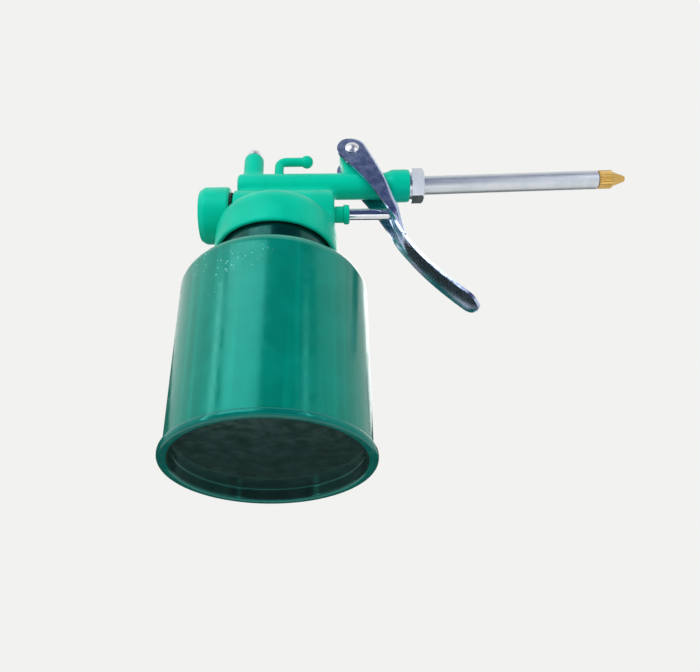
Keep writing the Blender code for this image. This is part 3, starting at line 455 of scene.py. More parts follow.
@dataclass(frozen=True)
class Enamel(Finish):
    """Sprayed enamel: colour clouds, painted reflection streaks down the wall, orange peel, dust that stuck in it,
    and painted shade inside a radius round the axis.
    """

    name: str
    colour: tuple[float, float, float]
    cloud: tuple[float, float, float]
    roughness: tuple[float, float]
    shine: tuple[float, float, float] = (0.10, 1.0, 0.86)
    gloss: float = 0.5
    peel: float = 0.02
    # Painted reflection: how much lighter the vertical streaks get.
    painted_streaks: float = 0.0
    dust: float = 0.0
    dust_spot: tuple[float, float, float] = (-17.0, -34.0, 70.0)
    dust_reach: tuple[float, float] = (7.0, 24.0)
    # Painted shade: its colour, and the radius from the axis inside which it is drawn.
    painted_shade: tuple[float, float, float] | None = None
    painted_shade_radius: float = 36.5

    def dress(self, nodes: Nodes) -> None:
        """Clouds of 12 mm, painted reflection streaks 4 mm wide, orange peel of 1 mm, specks near the dusty spot, and
        painted shade inside the given radius.
        """
        clouds = nodes.ranged(nodes.noise(nodes.place, 80.0, 3.0), (0.35, 0.65), (0.0, 1.0))
        colour = nodes.mixed(clouds, self.colour, self.cloud)
        # Painted reflection: lighter vertical streaks stand in for the surroundings mirrored in the glossy wall.
        if self.painted_streaks:
            streak = nodes.noise(nodes.stretched((230.0, 230.0, 5.0)), 1.0, 3.0)
            lighter = tuple(1.35 * value for value in self.cloud)
            colour = nodes.mixed(nodes.ranged(streak, (0.5, 0.72), (0.0, self.painted_streaks)), colour, lighter)
        # Painted shade: inside the radius the colour turns near black, for the neck in the bell's shade and for the
        # recessed bottom plate.
        if self.painted_shade:
            edge = (self.painted_shade_radius - 0.1, self.painted_shade_radius + 0.1)
            painted_shade = nodes.ranged(nodes.distance((0.0, 0.0, 0.0), flat=True), edge, (1.0, 0.0))
            mottle = nodes.ranged(nodes.noise(nodes.place, 160.0, 4.0), (0.3, 0.7), (0.0, 1.0))
            darker = tuple(0.65 * value for value in self.painted_shade)
            colour = nodes.mixed(painted_shade, colour, nodes.mixed(mottle, darker, self.painted_shade))
        if self.dust:
            speck = nodes.ranged(nodes.cells(520.0), (0.14, 0.24), (self.dust, 0.0))
            patch = nodes.ranged(nodes.noise(nodes.place, 95.0, 2.0), (0.45, 0.62), (0.0, 1.0))
            near = nodes.ranged(nodes.distance(self.dust_spot), self.dust_reach, (1.0, 0.0))
            strength = nodes.times(nodes.times(speck, patch), near)
            colour = nodes.mixed(strength, colour, (0.30, 0.72, 0.62))
        fine = nodes.noise(nodes.place, 900.0, 2.0)
        rough = nodes.ranged(nodes.noise(nodes.place, 260.0, 4.0), (0.3, 0.7), self.roughness)
        nodes.put(nodes.shader, Base_Color=colour, Roughness=rough, Normal=nodes.bump(fine, self.peel))
        nodes.put(nodes.shader, Specular_IOR_Level=self.gloss, Specular_Tint=(*self.shine, 1.0))


@dataclass(frozen=True)
class Metal(Finish):
    """Bare or plated metal with fine lines along one direction and scattered specks."""

    name: str
    colour: tuple[float, float, float]
    cloud: tuple[float, float, float]
    roughness: tuple[float, float] = (0.2, 0.34)
    lines: tuple[float, float, float] = (40.0, 1800.0, 1800.0)
    depth: float = 0.008
    specks: float = 0.0

    def dress(self, nodes: Nodes) -> None:
        """Lines from noise stretched along the working direction, and specks of 0.3 mm."""
        grain = nodes.noise(nodes.stretched(self.lines), 1.0, 3.0)
        clouds = nodes.ranged(nodes.noise(nodes.place, 140.0, 3.0), (0.35, 0.65), (0.0, 1.0))
        colour = nodes.mixed(clouds, self.colour, self.cloud)
        if self.specks:
            speck = nodes.ranged(nodes.cells(700.0), (0.18, 0.30), (self.specks, 0.0))
            patch = nodes.ranged(nodes.noise(nodes.place, 90.0, 2.0), (0.46, 0.62), (0.0, 1.0))
            colour = nodes.mixed(nodes.times(speck, patch), colour, (0.92, 0.95, 0.97))
        rough = nodes.ranged(grain, (0.3, 0.7), self.roughness)
        normal = nodes.bump(grain, self.depth)
        nodes.put(nodes.shader, Base_Color=colour, Metallic=1.0, Roughness=rough, Normal=normal)


@dataclass(frozen=True)
class Moulded(Finish):
    """Rubber or plastic with a fine matt grain."""

    name: str
    colour: tuple[float, float, float]
    cloud: tuple[float, float, float]
    roughness: tuple[float, float] = (0.6, 0.75)

    def dress(self, nodes: Nodes) -> None:
        """Grain of 0.6 mm over soft clouds."""
        clouds = nodes.ranged(nodes.noise(nodes.place, 200.0), (0.35, 0.65), (0.0, 1.0))
        grain = nodes.noise(nodes.place, 1600.0, 2.0)
        rough = nodes.ranged(grain, (0.3, 0.7), self.roughness)
        colour = nodes.mixed(clouds, self.colour, self.cloud)
        nodes.put(nodes.shader, Base_Color=colour, Roughness=rough, Normal=nodes.bump(grain, 0.02))


HEAD_ENAMEL = Enamel("satin_sea_green", (0.0, 0.54, 0.355), (0.0, 0.60, 0.40), (0.30, 0.42), gloss=0.3, peel=0.04)
CAN_ENAMEL = Enamel(
    "gloss_deep_green",
    (0.0, 0.205, 0.15),
    (0.0, 0.235, 0.175),
    (0.14, 0.24),
    gloss=0.7,
    peel=0.006,
    # Painted reflection: lighter vertical streaks on the wall.
    painted_streaks=0.6,
    dust=0.9,
    # Painted shade: the neck under the bell drawn near black.
    painted_shade=(0.0, 0.030, 0.026),
    painted_shade_radius=24.6,
)
HEM_ENAMEL = Enamel(
    "gloss_dark_green",
    (0.0, 0.155, 0.13),
    (0.002, 0.19, 0.155),
    (0.08, 0.18),
    gloss=0.7,
    peel=0.003,
    # Painted shade: the recessed plate and its inner wall drawn dark.
    painted_shade=(0.022, 0.056, 0.050),
)
LEVER_CHROME = Metal(
    "blued_chrome", (0.45, 0.54, 0.76), (0.52, 0.61, 0.82), (0.20, 0.28), (300.0, 1200.0, 300.0), 0.001, specks=1.0
)
BRIGHT_STEEL = Metal("bright_plating", (0.74, 0.78, 0.84), (0.82, 0.85, 0.88), (0.10, 0.22))
SPOUT_ALUMINIUM = Metal("drawn_aluminium", (0.64, 0.69, 0.74), (0.72, 0.76, 0.80), (0.40, 0.50), depth=0.006)
NUT_STEEL = Metal("turned_steel", (0.64, 0.70, 0.78), (0.70, 0.75, 0.82), (0.28, 0.34), (300.0, 100.0, 100.0), 0.001)
RIVET_STEEL = Metal("satin_rivet", (0.78, 0.80, 0.82), (0.82, 0.84, 0.86), (0.34, 0.38), depth=0.001)
NOZZLE_BRASS = Metal(
    "turned_brass", (0.62, 0.40, 0.12), (0.68, 0.45, 0.15), (0.22, 0.30), (200.0, 100.0, 100.0), 0.001
)
PLAIN_STEEL = Metal("plain_steel", (0.48, 0.49, 0.51), (0.56, 0.57, 0.58), (0.3, 0.45))
SEAL_RUBBER = Moulded("seal_rubber", (0.015, 0.015, 0.015), (0.03, 0.03, 0.03))
TUBE_PLASTIC = Moulded("milky_plastic", (0.72, 0.73, 0.68), (0.80, 0.80, 0.76), (0.3, 0.42))


# ---------------------------------------------------------------- sub-assemblies


@dataclass
class Can:
    """The reservoir: drawn wall, shoulder, neck, and the seamed bottom it stands on."""

    radius: float = 38.3
    wall: float = 0.8
    straight: float = 73.4
    shoulder: float = 6.0
    rise: float = 3.0
    neck: float = 24.0
    neck_top: float = 99.2
    hem: float = 40.0
    hem_width: float = 3.9
    hem_height: float = 2.8
    hem_floor: float = 1.2
    recess: float = 5.0

    def wall_profile(self) -> np.ndarray:
        """Up the outside, over the shoulder's round to the neck, and back down the inside."""
        foot = self.hem_floor + GAP
        corner = self.radius - self.shoulder
        slope = math.degrees(math.atan2(self.rise, corner - self.neck))
        seat = self.straight + self.shoulder + self.rise
        inner = self.neck - self.wall
        loop = [(self.radius, foot)]
        loop += arc((corner, self.straight), self.shoulder, 0, 90 - slope, 16)
        loop += [(self.neck, seat, 1.1), (self.neck, self.neck_top, 0.35), (inner, self.neck_top, 0.35)]
        loop += [(inner, seat - self.wall, 0.6)]
        loop += arc((corner, self.straight), self.shoulder - self.wall, 90 - slope, 0, 10)
        loop += [(self.radius - self.wall, foot)]
        return eased(loop, closed=True)

    def bottom_profile(self) -> np.ndarray:
        """The recessed plate, the rolled hem round it and the groove that holds the wall's foot."""
        inside = self.hem - self.hem_width
        groove = self.radius - self.wall - GAP
        plate = self.recess + self.wall
        return eased(
            [
                (0, self.recess),
                (inside, self.recess, 0.8),
                (inside, 0, 1.3),
                (self.hem, 0, 1.3),
                (self.hem, self.hem_height, 1.2),
                (self.radius + GAP, self.hem_height, 0.2),
                (self.radius + GAP, self.hem_floor, 0.1),
                (groove, self.hem_floor, 0.1),
                (groove, plate, 0.3),
                (0, plate),
            ],
            closed=False,
        )

    def build(self) -> None:
        """Makes the wall and the bottom."""
        wall = shown("can_shell", turned("can_shell", self.wall_profile(), Axis.upright(), closed=True, segments=256))
        fitted(wall, CAN_ENAMEL, Body.CAN, Slot.CAN, "can_body")
        bottom = turned("seamed_bottom", self.bottom_profile(), Axis.upright(), segments=256)
        fitted(shown("seamed_bottom", bottom), HEM_ENAMEL, Body.CAN, Slot.HEM, "can_bottom")


@dataclass
class PumpHead:
    """The casting, its rear cap, its gland nut and the valve plug."""

    bell: float = 26.5
    bell_wall: float = 2.2
    bell_round: float = 9.5
    bell_low: float = 94.1
    bell_top: float = 116.0
    ceiling: float = 102.0
    pump_z: float = 120.3
    housing: float = 11.3
    rear: float = -19.4
    front: float = 25.7
    bore: float = 8.0
    bore_front: float = 17.0
    barrel_z: float = 137.6
    barrel: float = 6.17
    barrel_rear: float = -18.6
    web: float = 4.0
    collar: float = 7.6
    collar_rear: float = 50.5
    collar_front: float = 61.0
    socket: float = 6.5
    socket_depth: float = 9.0
    duct: float = 1.8
    valve_x: float = -11.8
    boss: float = 4.75
    boss_top: float = 156.3
    boss_round: float = 0.8
    inlet: float = 6.0
    inlet_low: float = 92.0
    inlet_bore: float = 3.6
    inlet_top: float = 107.0
    port: float = 1.5
    pivot_x: float = 34.3
    pivot_z: float = 154.4
    lug: float = 6.0
    lug_half: float = 5.0
    lug_foot: tuple[float, float] = (31.4, 40.5)
    key_x: float = 0.1
    cap: float = 12.7
    cap_length: float = 13.2
    rod_bore: float = 2.88
    gland_thread: float = 3.9
    gland_length: float = 6.3
    plug_depth: float = 6.6
    spout: float = 4.29
    voxel: float = 0.5

    def forms(self) -> list[bpy.types.Mesh]:
        """The solids that the casting is joined from, besides its bell."""
        level = Axis.level
        barrel = [(0, self.barrel_rear), (self.barrel, self.barrel_rear), (self.barrel, self.collar_rear)]
        barrel += [(self.collar, self.collar_rear + 0.7), (self.collar, self.collar_front), (0, self.collar_front)]
        web_ends = (self.barrel_rear + 2, self.front - 2)
        web = [(web_ends[0], self.pump_z), (web_ends[1], self.pump_z)]
        web += [(web_ends[1], self.barrel_z - 1), (web_ends[0], self.barrel_z - 1)]
        boss = [(0, self.barrel_z + 2), (self.boss, self.barrel_z + 2)]
        edge = self.boss_round
        boss += arc((self.boss - edge, self.boss_top - edge), edge, 0, 90, 8) + [(0, self.boss_top)]
        lug = arc((self.pivot_x, self.pivot_z), self.lug, 0, 180, 32)
        lug += [(self.lug_foot[0], self.barrel_z + 1), (self.lug_foot[1], self.barrel_z + 1)]
        return [
            turned("housing", rod(self.housing, self.rear, self.front), level(self.pump_z), segments=128),
            turned("barrel", barrel, level(self.barrel_z), segments=96),
            slab("web", web, self.web),
            turned("boss", boss, Axis.upright(self.valve_x), segments=64),
            slab("lug", lug, self.lug_half),
            turned("inlet", rod(self.inlet, self.inlet_low, self.ceiling + 2.2), Axis.upright(self.valve_x), segments=64),
        ]

    def hollows(self) -> list[bpy.types.Mesh]:
        """The bores and seats that are cut out of the casting."""
        level = Axis.level
        spout = self.spout + 2 * GAP
        deep = self.collar_front - self.socket_depth
        duct = [(0, self.valve_x), (self.duct, self.valve_x), (self.duct, deep - 0.5), (spout, deep - 0.5)]
        duct += [(spout, deep), (self.socket, deep), (self.socket, self.collar_front + 5), (0, self.collar_front + 5)]
        packing, thread = self.rod_bore, self.gland_thread
        stuffing = [(0, self.bore_front - 1), (packing, self.bore_front - 1), (packing, self.front - 6)]
        stuffing += [(thread, self.front - 6), (thread, self.front + 5), (0, self.front + 5)]
        valve = [(0, self.pump_z + 1), (self.port, self.pump_z + 1), (self.port, 133.6), (2.6, 133.6)]
        shelf = self.boss_top - self.plug_depth
        valve += [(2.6, shelf), (3.1, shelf), (3.1, self.boss_top + 5), (0, self.boss_top + 5)]
        inlet = [(0, self.inlet_low - 5), (self.inlet_bore, self.inlet_low - 5), (self.inlet_bore, self.inlet_top)]
        inlet += [(self.port, self.inlet_top), (self.port, self.pump_z - 1), (0, self.pump_z - 1)]
        key = rod(2.9 + GAP, self.barrel_z - self.duct - 2, self.barrel_z + self.barrel + 5)
        return [
            turned("cap_seat", rod(self.cap + 2 * GAP, -60, self.rear), level(self.pump_z), segments=96),
            turned("bore", rod(self.bore, self.rear - 5, self.bore_front), level(self.pump_z), segments=64),
            turned("stuffing", stuffing, level(self.pump_z), segments=48),
            turned("duct", duct, level(self.barrel_z), segments=48),
            turned("valve", valve, Axis.upright(self.valve_x), segments=48),
            turned("inlet_bore", inlet, Axis.upright(self.valve_x), segments=48),
            turned("key_seat", key, Axis.upright(self.key_x), segments=48),
            turned("pivot_seat", rod(2.1 + GAP, -8, 8), Axis.across(self.pivot_x, self.pivot_z), segments=48),
        ]

    def casting(self) -> bpy.types.Object:
        """The bell joined with the forms, hollowed, then remeshed fine and smoothed like a casting."""
        inner = self.bell - self.bell_wall
        corner = (self.bell - self.bell_round, self.bell_top - self.bell_round)
        bell = [(inner, self.bell_low), (self.bell, self.bell_low)]
        bell += arc(corner, self.bell_round, 0, 90, 20)
        bell += [(0, self.bell_top), (0, self.ceiling), (inner, self.ceiling)]
        head = shown("head_casting", turned("head_casting", bell, Axis.upright(), closed=True, segments=192))
        combined(head, "UNION", self.forms())
        combined(head, "DIFFERENCE", self.hollows())
        remesh = head.modifiers.new("grain", "REMESH")
        remesh.mode = "VOXEL"
        remesh.voxel_size = self.voxel * MM
        soften = head.modifiers.new("soften", "SMOOTH")
        soften.factor = 0.5
        soften.iterations = 7
        settled(head)
        self.blend_dome(head)
        head.data.shade_smooth()
        return head

    def blend_dome(self, head: bpy.types.Object) -> None:
        """Smooths the meeting of dome and housing more, to a cast fillet of a few millimetres."""
        count = len(head.data.vertices)
        spots = np.empty(count * 3, dtype=np.float32)
        head.data.vertices.foreach_get("co", spots)
        x, y, z = (spots.reshape(-1, 3) / MM - np.array([axis_x(), 0.0, 0.0])).T
        weight = smooth_step(x, -17.0, -13.0) * (1 - smooth_step(x, 20.0, 23.0))
        weight *= smooth_step(np.abs(y), 5.0, 7.0) * smooth_step(z, 107.0, 111.0)
        weight *= (1 - smooth_step(z, 121.0, 124.0)) * (1 - 0.6 * smooth_step(x, 2.0, 14.0))
        group = head.vertex_groups.new(name="dome")
        level = np.round(weight * 10).astype(int)
        for step in range(1, 11):
            group.add(np.flatnonzero(level == step).tolist(), step / 10, "REPLACE")
        fillet = head.modifiers.new("fillet", "SMOOTH")
        fillet.factor = 0.5
        fillet.iterations = 60
        fillet.vertex_group = group.name
        settled(head)

    def rear_cap(self) -> bpy.types.Object:
        """The turned cap behind the housing: a bevelled disc with a flat face and a plug."""
        face = self.rear - 0.7 - 2 * GAP
        back = face - self.cap_length
        plug = self.bore - GAP
        profile = [(0, back), (self.cap - 1.5, back, 0.5), (self.cap, back + 2.4, 0.8)]
        profile += [(self.cap, face - 0.75, 0.2), (self.cap - 0.75, face, 0.2), (plug, face, 0.1)]
        profile += [(plug, face + 4, 0.3), (plug - 1.5, face + 4, 0.2), (plug - 1.5, back + 3, 0.2), (0, back + 3)]
        return shown("pump_cap", turned("pump_cap", eased(profile, False), Axis.level(self.pump_z), segments=160))

    def gland(self) -> bpy.types.Object:
        """The stepped nut that the plunger slides in."""
        start = self.front - 6 + GAP + 2.2 + GAP
        head = self.front + GAP
        end = head + self.gland_length
        bore = self.rod_bore
        profile = [(bore, start), (3.6, start), (3.6, head), (3.7, head, 0.1), (3.7, end - 2.9, 0.2)]
        profile += [(4.4, end - 2.4, 0.2), (4.4, end - 0.5, 0.2), (3.9, end, 0.2), (bore, end, 0.1)]
        nut = turned("gland", eased(profile, True), Axis.level(self.pump_z), closed=True, segments=96)
        return shown("gland", nut)

    def plug(self) -> bpy.types.Object:
        """The domed plug on the valve boss."""
        seat = self.boss_top + GAP
        low = self.boss_top - self.plug_depth + GAP
        profile = [(0, low), (2.8, low), (2.8, seat), (3.4, seat)] + arc((0, seat + 1), 3.4, 0, 90, 20)
        return shown("domed_plug", turned("domed_plug", profile, Axis.upright(self.valve_x), segments=96))

    def build(self) -> None:
        """Makes and dresses the head's pieces."""
        fitted(self.casting(), HEAD_ENAMEL, Body.CAN, Slot.HEAD, "pump_head")
        fitted(self.rear_cap(), HEAD_ENAMEL, Body.CAN, Slot.HEAD, "rear_cap")
        fitted(self.gland(), HEAD_ENAMEL, Body.CAN, Slot.HEAD, "gland_nut")
        fitted(self.plug(), RIVET_STEEL, Body.CAN, Slot.CHROME, "valve_plug")


@dataclass
class StopKey:
    """The bent handle on its spindle, with a ball end."""

    x: float = 0.1
    low: float = 134.1
    shoulder: float = 140.4
    spindle: float = 2.9
    stem: float = 2.15
    arm_z: float = 153.7
    reach: float = 12.9
    bend: float = 3.4
    ball: float = 3.05

    def build(self) -> None:
        """One bar carried up the spindle, round the bend and out to the ball."""
        up = np.linspace(self.low, self.arm_z - self.bend, 60)
        turn = np.array(arc((self.x + self.bend, self.arm_z - self.bend), self.bend, 180, 90, 24))[1:]
        out = np.linspace(self.x + self.bend, self.x + self.reach + self.ball, 90)[1:]
        path = np.concatenate(
            [np.stack([0 * up + self.x, up], axis=1), turn, np.stack([out, 0 * out + self.arm_z], axis=1)]
        )
        run = np.concatenate([[0.0], np.cumsum(np.linalg.norm(np.diff(path, axis=0), axis=1))])
        neck = smooth_step(run, self.shoulder - self.low - 0.1, self.shoulder - self.low + 0.1)
        bar = self.spindle + (self.stem - self.spindle) * neck
        from_ball = run - (run[-1] - self.ball)
        bar = np.where(from_ball > 0, 0.0, bar)
        sphere = np.sqrt(np.maximum(self.ball**2 - from_ball**2, 0.0))
        radius = np.maximum(bar, sphere)
        radius[0] = radius[-1] = 0.0
        path = np.concatenate([path[:1], path])
        radius = np.concatenate([[0.0], [self.spindle], radius[1:]])
        key = shown("stop_handle", carried("stop_handle", path, radius))
        fitted(key, HEAD_ENAMEL, Body.KEY, Slot.HEAD, "stop_key")


@dataclass
class Plunger:
    """The bright rod that the lever pushes."""

    z: float = 120.3
    start: float = 11.3
    shoulder: float = 16.3
    shank: float = 1.8
    radius: float = 2.58

    def build(self) -> None:
        """A turned rod with a domed tip, as long as its CAD node."""
        tip = (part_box("plunger_rod")[1].x - axis_x()) / MM
        profile = [(0, self.start), (self.shank, self.start)]
        profile += [(self.shank, self.shoulder), (self.radius, self.shoulder)]
        profile += arc((0, tip - self.radius), self.radius, 0, 90, 16)
        bar = shown("plunger_bar", turned("plunger_bar", profile, Axis.level(self.z), segments=96))
        fitted(bar, BRIGHT_STEEL, Body.PLUNGER, Slot.BRIGHT, "plunger_rod")


Curve = tuple[tuple[float, float], ...]


@dataclass
class Lever:
    """The pressed lever, with its rivet and the two washers beside the lug."""

    pivot: tuple[float, float] = (34.3, 154.4)
    ear: float = 7.0
    half: float = 8.0
    grip: float = 6.2
    sheet: float = 1.2
    bend: float = 3.0
    ear_bend: float = 1.5
    bend_run: tuple[float, float] = (0.42, 0.7)
    dish_run: tuple[float, float] = (0.72, 1.25)
    taper_run: tuple[float, float] = (0.75, 1.3)
    tip_run: tuple[float, float] = (1.88, 0.13)
    dish: float = 1.3
    spine_top: float = 129.3
    rivet: float = 2.1
    free: tuple[Curve, Curve] = (
        ((28.5, 150.5), (38.6, 137.3), (47.8, 122.7), (53.3, 107.0)),
        ((53.3, 107.0), (58.4, 92.9), (71.8, 78.1), (83.5, 67.2)),
    )
    spine: tuple[Curve, Curve] = (
        ((40.75, 157.1), (47.4, 141.5), (53.7, 124.7), (56.9, 107.6)),
        ((56.9, 107.6), (60.1, 93.9), (73.5, 79.9), (85.2, 69.0)),
    )

    @staticmethod
    def bezier(points: Curve, t: np.ndarray) -> np.ndarray:
        """The cubic Bezier curve of four (x, z) points at the values t."""
        weights = np.stack([(1 - t) ** 3, 3 * t * (1 - t) ** 2, 3 * t**2 * (1 - t), t**3], axis=1)
        return weights @ np.array(points)

    def stations(self) -> tuple[np.ndarray, np.ndarray, np.ndarray]:
        """The free edge, the spine and the run of each section, from the ear's top to the tip."""
        lean = math.radians(118.1)
        turn = np.radians(np.linspace(4, 86, 28))
        middle = np.array(self.pivot)
        left = middle + self.ear * np.stack([np.cos(lean + turn), np.sin(lean + turn)], axis=1)
        right = middle + self.ear * np.stack([np.cos(lean - turn), np.sin(lean - turn)], axis=1)
        t = np.linspace(0, 1, 50)
        tail = np.linspace(0, 1, 70)[1:]
        free = np.concatenate([left, self.bezier(self.free[0], t), self.bezier(self.free[1], tail)])
        spine = np.concatenate([right, self.bezier(self.spine[0], t), self.bezier(self.spine[1], tail)])
        return free, spine, np.concatenate([0 * turn, t, 1 + tail])

    def sections(self) -> np.ndarray:
        """Closed loops of the sheet's outer and inner lines, one for each station.

        The outer line is a U: up a flank, round the bend, across the spine. It blends into a dish
        whose depth is 1 - (y / half)^2. The inner line is the outer one moved in by the sheet.
        """
        free, spine, run = self.stations()
        across = spine - free
        depth = np.linalg.norm(across, axis=1)[:, None]
        across = across / depth
        blend = smooth_step(run, *self.dish_run)[:, None]
        end = np.clip((run - self.tip_run[0]) / self.tip_run[1], 0, 1)
        half = self.half + (self.grip - self.half) * smooth_step(run, *self.taper_run)
        half = (half * np.sqrt(1 - end**2))[:, None]
        bend = self.ear_bend + (self.bend - self.ear_bend) * smooth_step(run, *self.bend_run)[:, None]
        bend = np.minimum(bend, np.minimum(depth * 0.8, half * 0.9))
        flank = np.linspace(0, 1, 12)[None, :]
        round_off = np.radians(np.linspace(0, 90, 11))[None, 1:]
        flat = np.linspace(0, 1, 9)[None, 1:]
        y = np.concatenate(
            [0 * flank - half, bend * (1 - np.cos(round_off)) - half, (bend - half) * (1 - flat)], axis=1
        )
        d = np.concatenate(
            [(depth - bend) * flank, depth - bend + bend * np.sin(round_off), depth + 0 * flat * half], axis=1
        )
        share = np.linspace(0, 1, y.shape[1])[None, :]
        dish_y = -half * (1 - share)
        dish_d = self.sheet + self.dish * (1 - (1 - share) ** 2)
        y = y + (dish_y - y) * blend
        d = d + (dish_d - d) * blend
        y = np.concatenate([y, -y[:, -2::-1]], axis=1)
        d = np.concatenate([d, d[:, -2::-1]], axis=1)
        along_y, along_d = np.gradient(y, axis=1), np.gradient(d, axis=1)
        size = np.hypot(along_y, along_d)
        inner_y, inner_d = y + self.sheet * along_d / size, d - self.sheet * along_y / size
        y = np.concatenate([y, inner_y[:, ::-1]], axis=1)
        d = np.concatenate([d, inner_d[:, ::-1]], axis=1)
        place = free[:, None, :] + across[:, None, :] * d[..., None]
        return np.stack([place[..., 0], y, place[..., 1]], axis=-1)

    def sheet_mesh(self) -> bpy.types.Mesh:
        """The sections joined into a skin, with a strip of quads between the lines at both ends."""
        loops = self.sections()
        count, width = loops.shape[:2]
        skin = grid_faces(count, width, False, True)
        near = np.arange(width // 2 - 1)
        far = width - 1 - near
        strip = np.stack([near, near + 1, far - 1, far], axis=1)
        faces = np.concatenate([skin, strip, (count - 1) * width + strip[:, ::-1]])
        return put_in_mesh("pressed_lever", loops, faces)

    def build(self) -> None:
        """Makes the lever, the rivet and the washers."""
        x, z = self.pivot
        lever = shown("pressed_lever", self.sheet_mesh())
        top = z + self.ear + 5
        window = [(10, self.spine_top), (80, self.spine_top), (80, top), (10, top)]
        hole = turned("hole", rod(self.rivet + GAP, -10, 10), Axis.across(x, z), segments=48)
        combined(lever, "DIFFERENCE", [slab("window", window, self.half - self.sheet + 0.05), hole])
        edge = lever.modifiers.new("edge", "BEVEL")
        edge.width = 0.3 * MM
        edge.segments = 3
        edge.angle_limit = math.radians(55)
        settled(lever)
        lever.data.shade_smooth()
        lever.data.set_sharp_from_angle(angle=math.radians(42))
        fitted(lever, LEVER_CHROME, Body.LEVER, Slot.CHROME, "lever")

        face = self.half + GAP
        head = [(3.2, face + 0.25), *arc((0, face + 1.5 - 4.16), 4.16, 55, 90, 12)]
        upper = [(self.rivet, face), (3.2, face), *head]
        lower = [(r, -h) for r, h in reversed(upper)]
        rivet = shown("rivet", turned("rivet", lower + upper, Axis.across(x, z), segments=96))
        fitted(rivet, RIVET_STEEL, Body.CAN, Slot.BRIGHT, "pivot_rivet")
        near, far = 5.0 + GAP, self.half - self.sheet - GAP
        for name, low, high in (("washer_front", -far, -near), ("washer_rear", near, far)):
            ring = [(self.rivet + GAP, low, 0.1), (4.8, low, 0.2), (4.8, high, 0.2), (self.rivet + GAP, high, 0.1)]
            washer = turned(name, eased(ring, True, 3), Axis.across(x, z), closed=True, segments=96)
            fitted(shown(f"pivot_{name}", washer), PLAIN_STEEL, Body.CAN, Slot.STEEL, name)


@dataclass
class Spout:
    """The hex nut, the tube and the knurled nozzle on the end of the barrel."""

    x: float = 61.0
    z: float = 137.6
    rise: float = math.radians(1.8)
    radius: float = 4.29
    wall: float = 1.0
    length: float = 95.0
    inset: float = 7.5
    nut: float = 13.9
    nut_length: float = 5.6
    nut_turn: float = math.radians(16.5)
    nozzle: float = 4.29
    knurl: float = 6.6
    cone: float = 6.2
    tip: float = 1.2
    teeth: int = 20
    tooth: float = 0.45

    def hex_nut(self) -> bpy.types.Object:
        """Radius = min(across / 2 / cos(angle to the nearest flat's middle), chamfer at that height)."""
        spin = np.linspace(0, math.tau, 6 * 24, endpoint=False)
        to_flat = np.mod(spin, math.radians(60)) - math.radians(30)
        flats = self.nut / 2 / np.cos(to_flat)
        end = GAP + self.nut_length
        thread = self.nut / 2 - 0.75
        profile = np.array(
            [(4.89, -6.0), (6.2, -6.0), (6.2, GAP), (9, GAP), (9, end - 1.25), (8.4, end - 0.95)]
            + [(8.0, end - 0.72), (7.6, end - 0.46), (7.2, end - 0.2), (6.8, end), (5.6, end), (4.89, end - 0.5)]
        )
        radius = np.minimum(profile[:, :1], np.where(profile[:, :1] > thread, flats[None, :], profile[:, :1]))
        axis = Axis.level(self.z, self.x)
        points = axis.points(radius, spin[None, :] + self.nut_turn, profile[:, 1:])
        return shown("hex_nut", put_in_mesh("hex_nut", points, grid_faces(len(profile), len(spin), True, True), 20.0))

    def tube(self) -> bpy.types.Object:
        """The drawn tube, with a slight ease at both ends."""
        end = self.length - self.inset
        inner = self.radius - self.wall
        ring = [(inner, -self.inset, 0.1), (self.radius, -self.inset, 0.2)]
        ring += [(self.radius, end, 0.25), (inner, end, 0.1)]
        axis = Axis.level(self.z, self.x, self.rise)
        return shown("drawn_tube", turned("drawn_tube", eased(ring, True), axis, closed=True, segments=128))

    def nozzle_tip(self) -> bpy.types.Object:
        """Radius = profile - tooth (1 - cos(teeth angle)) / 2 along the knurl, fading at its ends."""
        face = self.length - self.inset + GAP
        shank = self.radius - self.wall - GAP
        front = face + self.knurl
        end = front + self.cone
        loop = [(0.7, face - 8), (shank, face - 8), (shank, face), (self.nozzle, face, 0.35)]
        loop += [(self.nozzle, face + 1.2), (self.nozzle, front - 1.2), (self.nozzle, front - 0.3, 0.25)]
        loop += [(self.nozzle - 0.8, front + 0.4, 0.3), (self.tip + 0.25, end - 0.4, 0.2)]
        loop += [(self.tip, end, 0.15), (0.7, end)]
        rows = eased(loop, True, 4)
        spin = np.linspace(0, math.tau, self.teeth * 10, endpoint=False)
        height = rows[:, 1:]
        along = smooth_step(height, face, face + 0.5) * (1 - smooth_step(height, front - 0.4, front + 0.1))
        outer = rows[:, :1] > self.nozzle - 1.0
        wave = (1 - np.cos(self.teeth * spin))[None, :] / 2
        radius = rows[:, :1] - self.tooth * wave * along * outer
        points = Axis.level(self.z, self.x, self.rise).points(radius, spin[None, :], height)
        faces = grid_faces(len(rows), len(spin), True, True)
        return shown("knurled_nozzle", put_in_mesh("knurled_nozzle", points, faces))

    def build(self) -> None:
        """Makes and dresses the spout's pieces."""
        fitted(self.hex_nut(), NUT_STEEL, Body.CAN, Slot.BRIGHT, "spout_nut")
        fitted(self.tube(), SPOUT_ALUMINIUM, Body.CAN, Slot.ALUMINIUM, "spout_tube")
        fitted(self.nozzle_tip(), NOZZLE_BRASS, Body.CAN, Slot.BRASS, "nozzle_tip")


